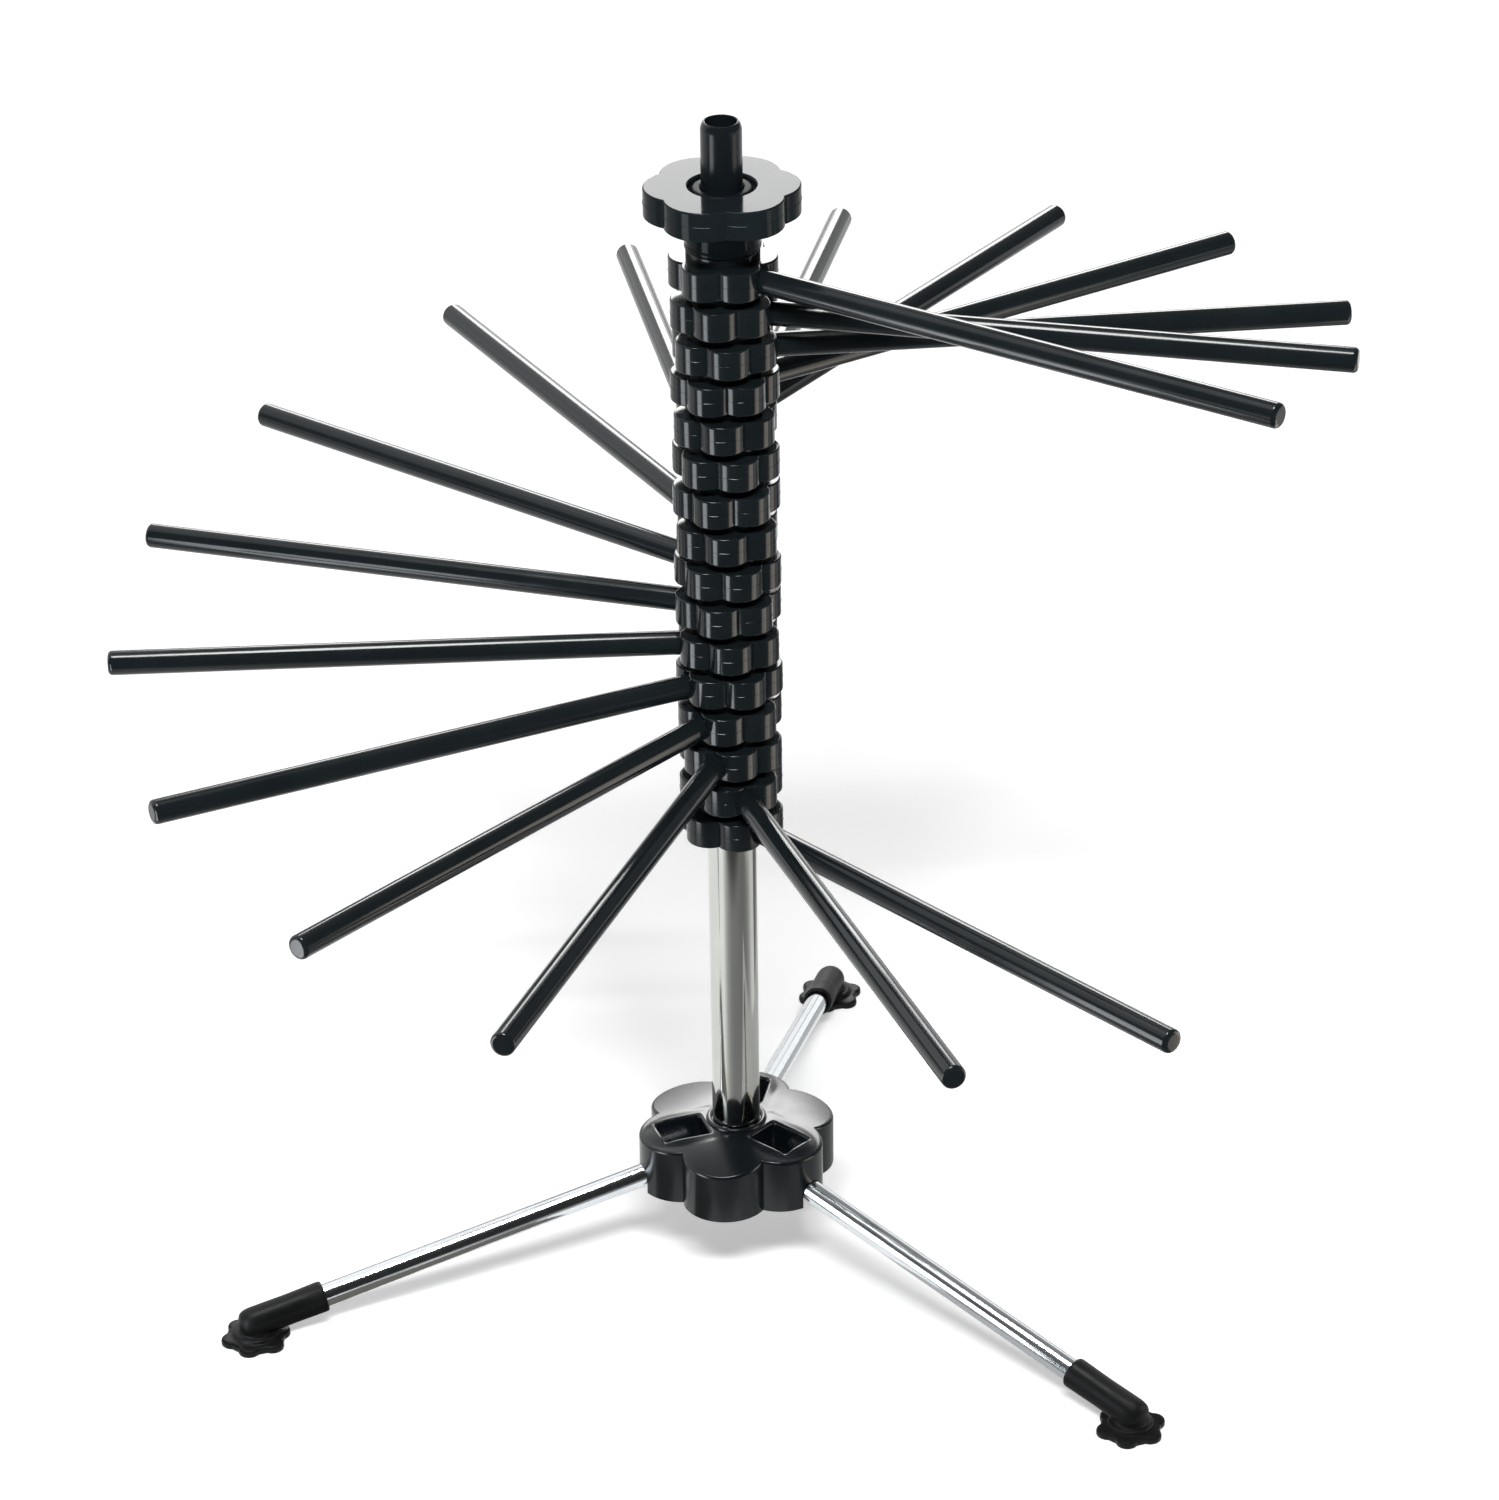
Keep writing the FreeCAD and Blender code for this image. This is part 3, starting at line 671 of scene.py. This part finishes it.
# Upright tube: thin-walled steel tube, polished bright and plated, pressed into the base's socket.
# The lowest hub is pressed on it and the rest of the stack turns on it.
TUBE_RADIUS = 10 * MM
TUBE_WALL = 0.8 * MM
TUBE_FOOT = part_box("column_tube")[0].z
TUBE_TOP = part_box("column_tube")[1].z
tube = start_ring("upright_tube", 144, TUBE_RADIUS - TUBE_WALL, TUBE_FOOT)
draw_ring(tube, TUBE_RADIUS - 0.2 * MM, TUBE_FOOT)
draw_ring(tube, TUBE_RADIUS, TUBE_FOOT + 0.2 * MM)
draw_ring(tube, TUBE_RADIUS, TUBE_TOP - 0.2 * MM)
draw_ring(tube, TUBE_RADIUS - 0.2 * MM, TUBE_TOP)
draw_ring(tube, TUBE_RADIUS - TUBE_WALL, TUBE_TOP)
draw_ring(tube, TUBE_RADIUS - TUBE_WALL, TUBE_FOOT)
close_piece(tube, 30)
# Polished steel, warmer and greyer than the legs; polishing lines stand upright on it, 0.5 mm apart and
# about 70 mm long
tube.data.materials.append(
    plated_steel(
        "polished_steel_tube", "#c9cbc7", "#b9bbb6",
        source="Object", stretch=(1 / (0.5 * MM), 1 / (0.5 * MM), 1 / (70 * MM)),
        gloss=0.06, dull=0.1, line_depth_mm=0.003,
    )
)
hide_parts("column_tube")
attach(tube, "stand")


# Arms: sixteen like mouldings in gloss black ABS, each a six-lobed hub with one round rod between two
# lobes. They are stacked on the tube, each on the boss of the one below; the mould's parting line runs
# round the lobes at half their height and along both sides of the rod.
HUB_HEIGHT = 16 * MM
HUB_GAP = 0.2 * MM
LOBE_HEIGHT = 12.2 * MM
BOSS_RADIUS = 14.7 * MM
HUB_LOBE_OFFSET = 12.3 * MM
HUB_LOBE_RADIUS = 9.4 * MM
HUB_BORE = 10.3 * MM
ARM_REACH = 250 * MM
ROD_RADIUS = 5 * MM
ROD_HEIGHT = 5.3 * MM
ROD_START = 12 * MM
ROD_SEAM = 1.012
ARM_16_TURN = 324
EDGE_ROUND = 0.8 * MM
# Section of a parting line's ridge, as out from the wall and up; the knob's is full size, a hub's finer
HUB_SEAM = 0.6
SEAM = [(0, -0.24 * MM), (0.17 * MM, -0.12 * MM), (0.17 * MM, 0.12 * MM), (0, 0.24 * MM)]


def hub_outline(grow):
    def reach(angle):
        return flower(angle - math.pi / 6, HUB_LOBE_OFFSET, HUB_LOBE_RADIUS, 6) + grow

    return reach


def quarter_turns(radius):
    """How far in and how far up a round edge lies, from the wall to the top."""
    turns = [math.radians(22.5 * n) for n in range(5)]
    return [(radius * (1 - math.cos(turn)), radius * (1 - math.sin(turn))) for turn in turns]


arm = start_ring("arm", 180, HUB_BORE, 0)
for inwards, downwards in reversed(quarter_turns(EDGE_ROUND)):
    draw_ring(arm, hub_outline(-inwards), downwards)
for grow, lift in SEAM:
    draw_ring(arm, hub_outline(HUB_SEAM * grow), LOBE_HEIGHT / 2 + HUB_SEAM * lift)
for inwards, downwards in quarter_turns(EDGE_ROUND):
    draw_ring(arm, hub_outline(-inwards), LOBE_HEIGHT - downwards)
draw_ring(arm, BOSS_RADIUS, LOBE_HEIGHT)
for inwards, downwards in quarter_turns(0.4 * MM):
    draw_ring(arm, BOSS_RADIUS - inwards, HUB_HEIGHT - downwards)
draw_ring(arm, HUB_BORE, HUB_HEIGHT)
draw_ring(arm, HUB_BORE, 0)
close_piece(arm, 28)
bpy.ops.object.select_all(action="DESELECT")
bpy.ops.mesh.primitive_cylinder_add(
    vertices=72,
    radius=ROD_RADIUS,
    depth=ARM_REACH - ROD_START,
    location=((ARM_REACH + ROD_START) / 2, 0, ROD_HEIGHT),
    rotation=(0, math.pi / 2, 0),
)
rod = bpy.context.object
bpy.ops.object.transform_apply(location=True, rotation=True, scale=True)
open_piece(rod)
pick(rod, "EDGE", lambda place: place.x > ARM_REACH - 0.1 * MM)
bpy.ops.mesh.bevel(offset=1.8 * MM, segments=6, affect="EDGES")
pick(
    rod,
    "EDGE",
    lambda place: abs(place.z - ROD_HEIGHT) < 0.01 * MM and abs(place.y) > ROD_RADIUS / 2,
)
bpy.ops.transform.resize(value=(1, ROD_SEAM, 1))
close_piece(rod, 28)
join([arm, rod])
# Gloss ABS straight from a polished mould: light runs along the rods and stands as streaks on the lobes
arm_plastic = moulded_black(
    "moulded_black_abs_gloss", "#12171a", "#1b2124",
    shine=0.25, gloss=0.12, dull=0.18, flow_mm=30, peel_mm=2.2, peel_depth_mm=0.003,
)
arm.data.materials.clear()
arm.data.materials.append(arm_plastic)
steps = {j["child"]: -j["range_deg"][0] for j in frame["joints"] if j["child"].startswith("arm_")}
turn = ARM_16_TURN
for k in range(16, 0, -1):
    name = f"arm_{k:02d}"
    turn -= steps.get(name, 0)
    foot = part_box("arm_16")[0].z + (16 - k) * (HUB_HEIGHT + HUB_GAP)
    twin = copy_turned(
        arm,
        f"drying_{name}",
        Matrix.Translation((0, 0, foot)) @ Matrix.Rotation(math.radians(turn), 4, "Z"),
    )
    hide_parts(name)
    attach(twin, "stand" if k == 16 else name)
bpy.data.objects.remove(arm)


# Knob: a six-lobed turning head on a round neck, moulded in gloss black ABS, with a recess for the bush
# in its top. A bead runs round the neck's foot, and the parting line round the head at half its
# thickness.
KNOB_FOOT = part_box("arm_01")[1].z + HUB_GAP
KNOB_BORE = HUB_BORE
NECK_RADIUS = 15.25 * MM
NECK_HEIGHT = 13.5 * MM
KNOB_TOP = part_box("top_knob")[1].z
HEAD_FOOT = KNOB_FOOT + NECK_HEIGHT
HEAD_MIDDLE = (HEAD_FOOT + KNOB_TOP) / 2
KNOB_LOBE_OFFSET = 14.5 * MM
KNOB_LOBE_RADIUS = 16.5 * MM
RECESS_RADIUS = 13.5 * MM
RECESS_FLOOR = KNOB_TOP - 3 * MM
KNOB_LAG = 22
KNOB_TURN = math.radians(turn - KNOB_LAG)
HEAD_ROUND = 0.7 * MM


def head_outline(grow):
    def reach(angle):
        return flower(angle, KNOB_LOBE_OFFSET, KNOB_LOBE_RADIUS, 6) + grow

    return reach


knob = start_ring("turning_knob", 216, KNOB_BORE, RECESS_FLOOR)
draw_ring(knob, RECESS_RADIUS, RECESS_FLOOR)
for inwards, downwards in quarter_turns(0.8 * MM):
    draw_ring(knob, RECESS_RADIUS + inwards, KNOB_TOP - downwards)
for inwards, downwards in reversed(quarter_turns(HEAD_ROUND)):
    draw_ring(knob, head_outline(-inwards), KNOB_TOP - downwards)
for grow, lift in SEAM:
    draw_ring(knob, head_outline(grow), HEAD_MIDDLE - lift)
for inwards, downwards in quarter_turns(HEAD_ROUND):
    draw_ring(knob, head_outline(-inwards), HEAD_FOOT + downwards)
draw_ring(knob, NECK_RADIUS - 0.3 * MM, HEAD_FOOT)
draw_ring(knob, NECK_RADIUS - 0.3 * MM, KNOB_FOOT + 2.6 * MM)
draw_ring(knob, NECK_RADIUS - 0.1 * MM, KNOB_FOOT + 2.1 * MM)
draw_ring(knob, NECK_RADIUS, KNOB_FOOT + 1.4 * MM)
draw_ring(knob, NECK_RADIUS, KNOB_FOOT + 0.6 * MM)
draw_ring(knob, NECK_RADIUS - 0.1 * MM, KNOB_FOOT + 0.2 * MM)
draw_ring(knob, NECK_RADIUS - 0.4 * MM, KNOB_FOOT)
draw_ring(knob, KNOB_BORE, KNOB_FOOT)
draw_ring(knob, KNOB_BORE, RECESS_FLOOR)
close_piece(knob, 28)
knob.data.transform(Matrix.Rotation(KNOB_TURN, 4, "Z"))
# ABS from the best polished mould of all: the flat top mirrors the room with hardly a ripple
knob.data.materials.append(
    moulded_black(
        "moulded_black_abs_polished", "#161c1f", "#1f2629",
        shine=0.05, gloss=0.08, dull=0.13, flow_mm=35, peel_mm=2.5, peel_depth_mm=0.002,
    )
)
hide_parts("top_knob")
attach(knob, "top_knob")


# Top bush: a flanged ring moulded in black acetal and pressed into the tube's top. It holds the knob
# down and guides the wand; only its rounded flange shows, in the knob's recess.
FLANGE_RADIUS = 12.2 * MM
WAND_RADIUS = 8.2 * MM
BUSH_BORE = WAND_RADIUS + 0.08 * MM
SPIGOT_RADIUS = TUBE_RADIUS - TUBE_WALL - 0.02 * MM
FLANGE_FOOT = TUBE_TOP
FLANGE_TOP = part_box("top_bush")[1].z
BUSH_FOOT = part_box("top_bush")[0].z
bush = start_ring("flanged_bush", 128, BUSH_BORE, BUSH_FOOT)
draw_ring(bush, SPIGOT_RADIUS, BUSH_FOOT)
draw_ring(bush, SPIGOT_RADIUS, FLANGE_FOOT)
draw_ring(bush, FLANGE_RADIUS, FLANGE_FOOT)
for inwards, downwards in quarter_turns(1.4 * MM):
    draw_ring(bush, FLANGE_RADIUS - inwards, FLANGE_TOP - downwards)
for inwards, downwards in reversed(quarter_turns(1.1 * MM)):
    draw_ring(bush, BUSH_BORE + inwards, FLANGE_TOP - downwards)
draw_ring(bush, BUSH_BORE, BUSH_FOOT)
close_piece(bush, 30)
# Acetal is waxy: a dull black that only greys where light falls along it
bush.data.materials.append(
    moulded_black(
        "moulded_black_acetal", "#0e1214", "#14181a",
        shine=0.03, gloss=0.36, dull=0.46, flow_mm=12, peel_mm=1.4, peel_depth_mm=0.003,
    )
)
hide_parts("top_bush")
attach(bush, "stand")


# Transfer wand: a long gloss black ABS rod that lives inside the tube and lifts out through the bush.
# It is cored from the top to keep the moulding's wall even, so its end is a dark hole in a rounded lip.
WAND_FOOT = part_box("transfer_wand")[0].z
WAND_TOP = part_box("transfer_wand")[1].z
WAND_CORE = 6.3 * MM
CORE_DEPTH = 40 * MM
wand = start_ring("lifting_wand", 96, WAND_RADIUS - 1 * MM, WAND_FOOT)
bpy.ops.mesh.edge_face_add()
pick(wand, "EDGE", lambda place: True)
for inwards, downwards in reversed(quarter_turns(1 * MM)):
    draw_ring(wand, WAND_RADIUS - inwards, WAND_FOOT + downwards)
draw_ring(wand, WAND_RADIUS, WAND_TOP - 3.2 * MM)
draw_ring(wand, WAND_RADIUS - 0.15 * MM, WAND_TOP - 2.3 * MM)
draw_ring(wand, WAND_RADIUS - 0.45 * MM, WAND_TOP - 1.3 * MM)
draw_ring(wand, WAND_RADIUS - 0.85 * MM, WAND_TOP - 0.5 * MM)
draw_ring(wand, WAND_RADIUS - 1.2 * MM, WAND_TOP - 0.1 * MM)
draw_ring(wand, WAND_RADIUS - 1.5 * MM, WAND_TOP)
draw_ring(wand, WAND_CORE + 0.1 * MM, WAND_TOP - 0.1 * MM)
draw_ring(wand, WAND_CORE, WAND_TOP - 0.5 * MM)
draw_ring(wand, WAND_CORE, WAND_TOP - CORE_DEPTH)
bpy.ops.mesh.edge_face_add()
close_piece(wand, 30)
# ABS with a gloss softened by handling, so its streaks of light are broad and faint
wand.data.materials.append(
    moulded_black(
        "moulded_black_abs_rod", "#11161a", "#181e22",
        shine=0.2, gloss=0.2, dull=0.26, flow_mm=26, peel_mm=2, peel_depth_mm=0.003,
    )
)
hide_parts("transfer_wand")
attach(wand, "transfer_wand")


# Studio: a white table under one wide key light, with soft boxes behind and on the left and a dark room
# in front and on the right. The table keeps the rack's shadow; what lifts it to white is seen by the
# camera and by the metal alike.
CAMERA_TURN = math.radians(-78)
TABLE_SIZE = 14
PAPER_LIFT = 0.38


def paper_white(name, colour, part):
    """White paper that the camera and mirrors see lifted to white, or a part of that as painted shade,
    even or drawn.
    """
    material, tree, surface = new_material(name)
    path = add_node(tree, "ShaderNodeLightPath", {}).outputs
    seen = path["Is Camera Ray"]
    for ray in ("Is Glossy Ray", "Is Transmission Ray"):
        seen = add_node(
            tree, "ShaderNodeMath", {0: seen, 1: path[ray]}, operation="ADD", use_clamp=True
        ).outputs[0]
    # A part below one paints shade: it darkens the paper's colour and its lift together
    if callable(part):
        share = part(tree)
        most = PAPER_LIFT
        seen = add_node(tree, "ShaderNodeMath", {0: seen, 1: share}, operation="MULTIPLY").outputs[0]
        tone = add_node(
            tree, "ShaderNodeMix", {0: share, 6: linear("#000000"), 7: linear(colour)}, data_type="RGBA"
        ).outputs[2]
    else:
        most = PAPER_LIFT * part
        tone = [part * c for c in linear(colour)[:3]] + [1]
    lift = add_node(tree, "ShaderNodeMath", {0: seen, 1: most}, operation="MULTIPLY").outputs[0]
    shader = add_node(
        tree,
        "ShaderNodeBsdfPrincipled",
        {
            "Base Color": tone,
            "Roughness": 0.9,
            "Specular IOR Level": 0,
            "Emission Color": linear("#ffffff"),
            "Emission Strength": lift,
        },
    )
    tree.links.new(shader.outputs[0], surface)
    return material


def along(tree, turn):
    """How far a point of the table lies out in one direction, in metres."""
    place = add_node(tree, "ShaderNodeTexCoord", {}).outputs["Object"]
    way = (math.cos(turn), math.sin(turn), 0)
    return add_node(
        tree, "ShaderNodeVectorMath", {0: place, 1: way}, operation="DOT_PRODUCT"
    ).outputs["Value"]


bpy.ops.object.select_all(action="DESELECT")
bpy.ops.mesh.primitive_plane_add(size=TABLE_SIZE)
table = bpy.context.object
table.name = "studio_table"
table.data.materials.append(paper_white("white_paper_sweep", "#f4f4f4", 1))

world = bpy.data.worlds.new("studio_room")
bpy.context.scene.world = world
world.use_nodes = True
tree = world.node_tree
tree.nodes.clear()
ray = add_node(tree, "ShaderNodeTexCoord", {}).outputs["Generated"]
side = add_node(
    tree, "ShaderNodeVectorMath", {0: ray, 1: (-0.62, 0.78, 0)}, operation="DOT_PRODUCT"
).outputs["Value"]
# The camera sees the room as white as the table; the pieces see it dark in front and on the right
seen = add_node(tree, "ShaderNodeLightPath", {}).outputs["Is Camera Ray"]
gloom = add_node(
    tree,
    "ShaderNodeMapRange",
    {"Value": side, "From Min": -0.4, "From Max": 0.9, "To Min": 0.07, "To Max": 0.4},
    interpolation_type="SMOOTHSTEP",
).outputs["Result"]
strength = add_node(tree, "ShaderNodeMath", {0: gloom, 1: seen}, operation="MAXIMUM").outputs[0]
sky = add_node(tree, "ShaderNodeBackground", {"Color": linear("#ffffff"), "Strength": strength})
output = tree.nodes.new("ShaderNodeOutputWorld")
tree.links.new(sky.outputs[0], output.inputs["Surface"])


def soft_box(name, place, aim, width, height, brightness, colour="#ffffff"):
    """A rectangular soft box of a given brightness, which gloss and metal mirror."""
    bpy.ops.object.select_all(action="DESELECT")
    bpy.ops.object.light_add(type="AREA", location=place)
    lamp = bpy.context.object
    lamp.name = name
    lamp.data.shape = "RECTANGLE"
    lamp.data.size = width
    lamp.data.size_y = height
    lamp.data.color = linear(colour)[:3]
    lamp.data.energy = brightness * math.pi * width * height
    lamp.rotation_euler = (Vector(aim) - Vector(place)).to_track_quat("-Z", "Y").to_euler()
    lamp.visible_camera = False
    lamp.visible_diffuse = False
    return lamp


# The key is far off, high in front and wide, so it lies evenly on the table and blurs tall shadows away
key = soft_box(
    "key_light", place=(1.86, -8.67, 10.84), aim=(0, 0, 0), width=5.6, height=1.7, brightness=65
)
key.visible_diffuse = True
key.visible_glossy = False
# The rest, each with its place, aim, width, height, brightness and colour
for name, place, aim, width, height, brightness, colour in (
    ("back_soft_box", (-0.39, 1.9, 1.21), (-0.39, 0, 1.21), 0.92, 0.62, 11.5, "#ffffff"),
    ("back_soft_box", (-0.39, 1.9, 0.73), (-0.39, 0, 0.73), 0.92, 0.34, 2.6, "#ffffff"),
    ("back_soft_box", (-0.39, 1.9, 0.335), (-0.39, 0, 0.335), 0.92, 0.45, 0.8, "#ffffff"),
    ("back_right_panel", (0.5, 1.9, 0.6), (0.5, 0, 0.6), 0.8, 1.2, 0.9, "#ffffff"),
    ("left_panel", (-1.5, 0.7, 1.2), (0, 0, 0.05), 2.6, 2.2, 1, "#ffffff"),
    ("ceiling_panel", (-0.55, 0, 2.1), (-0.55, 0, 0), 1.5, 1.2, 1.1, "#ffffff"),
    ("top_soft_box", (-0.15, -0.2, 2), (0, 0, 0.3), 0.5, 0.5, 36, "#ffffff"),
    ("left_strip", (-0.32, -0.34, 0.17), (0, 0, 0.3), 0.17, 0.34, 9, "#f4faff"),
    ("right_strip", (0.42, -0.02, 0.17), (0, 0, 0.3), 0.18, 0.34, 3.4, "#fff2e2"),
):
    soft_box(name, place, aim, width, height, brightness, colour)


# Cards of paper painted with shade lie on the table in front, on the right and by the left leg, and one
# stands up far in front. They are out of the picture and of every shadow, and the fronts of the gloss
# and polished pieces mirror their painted shade as dark reflections.
def front_shade(tree):
    """Painted shade: darkest in a sector to the front right, and darker again far out in front and on
    the right.
    """
    sector = math.radians(-56)
    aside = add_node(
        tree, "ShaderNodeMath", {0: along(tree, sector + math.pi / 2)}, operation="ABSOLUTE"
    ).outputs[0]
    slant = add_node(
        tree, "ShaderNodeMath", {0: aside, 1: along(tree, sector)}, operation="DIVIDE"
    ).outputs[0]
    ahead = along(tree, CAMERA_TURN)
    right = along(tree, CAMERA_TURN + math.pi / 2)
    share = 1
    for value, start, end, first, last in (
        (slant, 0.3, 3, 0.24, 1),
        (ahead, 0.29, 0.36, 1, 0.22),
        (right, 0, 0.3, 1, 0.7),
    ):
        shade = add_node(
            tree,
            "ShaderNodeMapRange",
            {"Value": value, "From Min": start, "From Max": end, "To Min": first, "To Max": last},
            interpolation_type="SMOOTHSTEP",
        ).outputs["Result"]
        share = add_node(tree, "ShaderNodeMath", {0: share, 1: shade}, operation="MULTIPLY").outputs[0]
    return share


def shade_card(name, corners, material):
    """A card of painted shade that only gloss and metal mirror; a corner is given as out from the rack,
    right and up.
    """
    mesh = bpy.data.meshes.new(name)
    turn = Matrix.Rotation(CAMERA_TURN, 4, "Z")
    mesh.from_pydata([turn @ Vector(corner) for corner in corners], [], [range(len(corners))])
    card = bpy.data.objects.new(name, mesh)
    bpy.context.collection.objects.link(card)
    card.data.materials.append(material)
    card.visible_camera = False
    card.visible_diffuse = False
    card.visible_shadow = False


# Paper with painted shade for the front and wall cards, mirrored as dark reflections
painted_shade_paper = paper_white("painted_shade_paper", "#f4f4f4", front_shade)
CARD_HALF = 1.8
CARD_END = 1.9
CARD_LIFT = 0.004
near_edge = [(0.1, 0.035), (0.16, 0.12), (0.2, 0.2), (-0.5, 0.2)]
outline = [(0.1, -CARD_HALF)] + near_edge
outline += [(-0.5, CARD_HALF), (CARD_END, CARD_HALF), (CARD_END, -CARD_HALF)]
shade_card("front_card", [(out, right, CARD_LIFT) for out, right in outline], painted_shade_paper)
shade_card(
    "wall_card",
    [
        (CARD_END, -CARD_HALF, CARD_LIFT),
        (CARD_END, -CARD_HALF, 2.4),
        (CARD_END, CARD_HALF, 2.4),
        (CARD_END, CARD_HALF, CARD_LIFT),
    ],
    painted_shade_paper,
)
# Paper painted at half shade on the right, mirrored as a grey reflection down the tube's right side
shade_card(
    "right_card",
    [(out, right, CARD_LIFT) for out, right in near_edge + [(-0.5, 0.06), (0, 0.06)]],
    paper_white("painted_half_shade_card", "#f4f4f4", 0.5),
)
# Paper painted a dark brownish shade by the left leg, mirrored as a dark reflection on the leg's
# underside
shade_card(
    "leg_card",
    [(0.03, -0.06, 0.003), (0.1, -0.05, 0.003), (0.12, -0.21, 0.003), (0.06, -0.22, 0.003)],
    paper_white("painted_brown_shade_card", "#f4ead8", 0.16),
)

# Camera: a long lens two and a half metres off, above the front and a little to the right, as the
# photograph was taken. Its angles are a turn about the upright, a tilt down and a slight roll.
IMAGE_WIDTH = 1499
FOCAL_PIXELS = 5827
CAMERA_PLACE = Vector((432.3, -2052.6, 1357.0)) * MM
CAMERA_AIM = math.radians(11.683)
CAMERA_TILT = math.radians(90 - 28.042)
CAMERA_ROLL = math.radians(-0.796)
bpy.ops.object.select_all(action="DESELECT")
bpy.ops.object.camera_add()
camera = bpy.context.object
camera.name = "photograph_camera"
camera.data.sensor_fit = "HORIZONTAL"
camera.data.angle = 2 * math.atan(IMAGE_WIDTH / 2 / FOCAL_PIXELS)
camera.matrix_world = (
    Matrix.Translation(CAMERA_PLACE)
    @ Matrix.Rotation(CAMERA_AIM, 4, "Z")
    @ Matrix.Rotation(CAMERA_TILT, 4, "X")
    @ Matrix.Rotation(CAMERA_ROLL, 4, "Z")
)
bpy.context.scene.camera = camera
bpy.context.scene.view_settings.view_transform = "Standard"
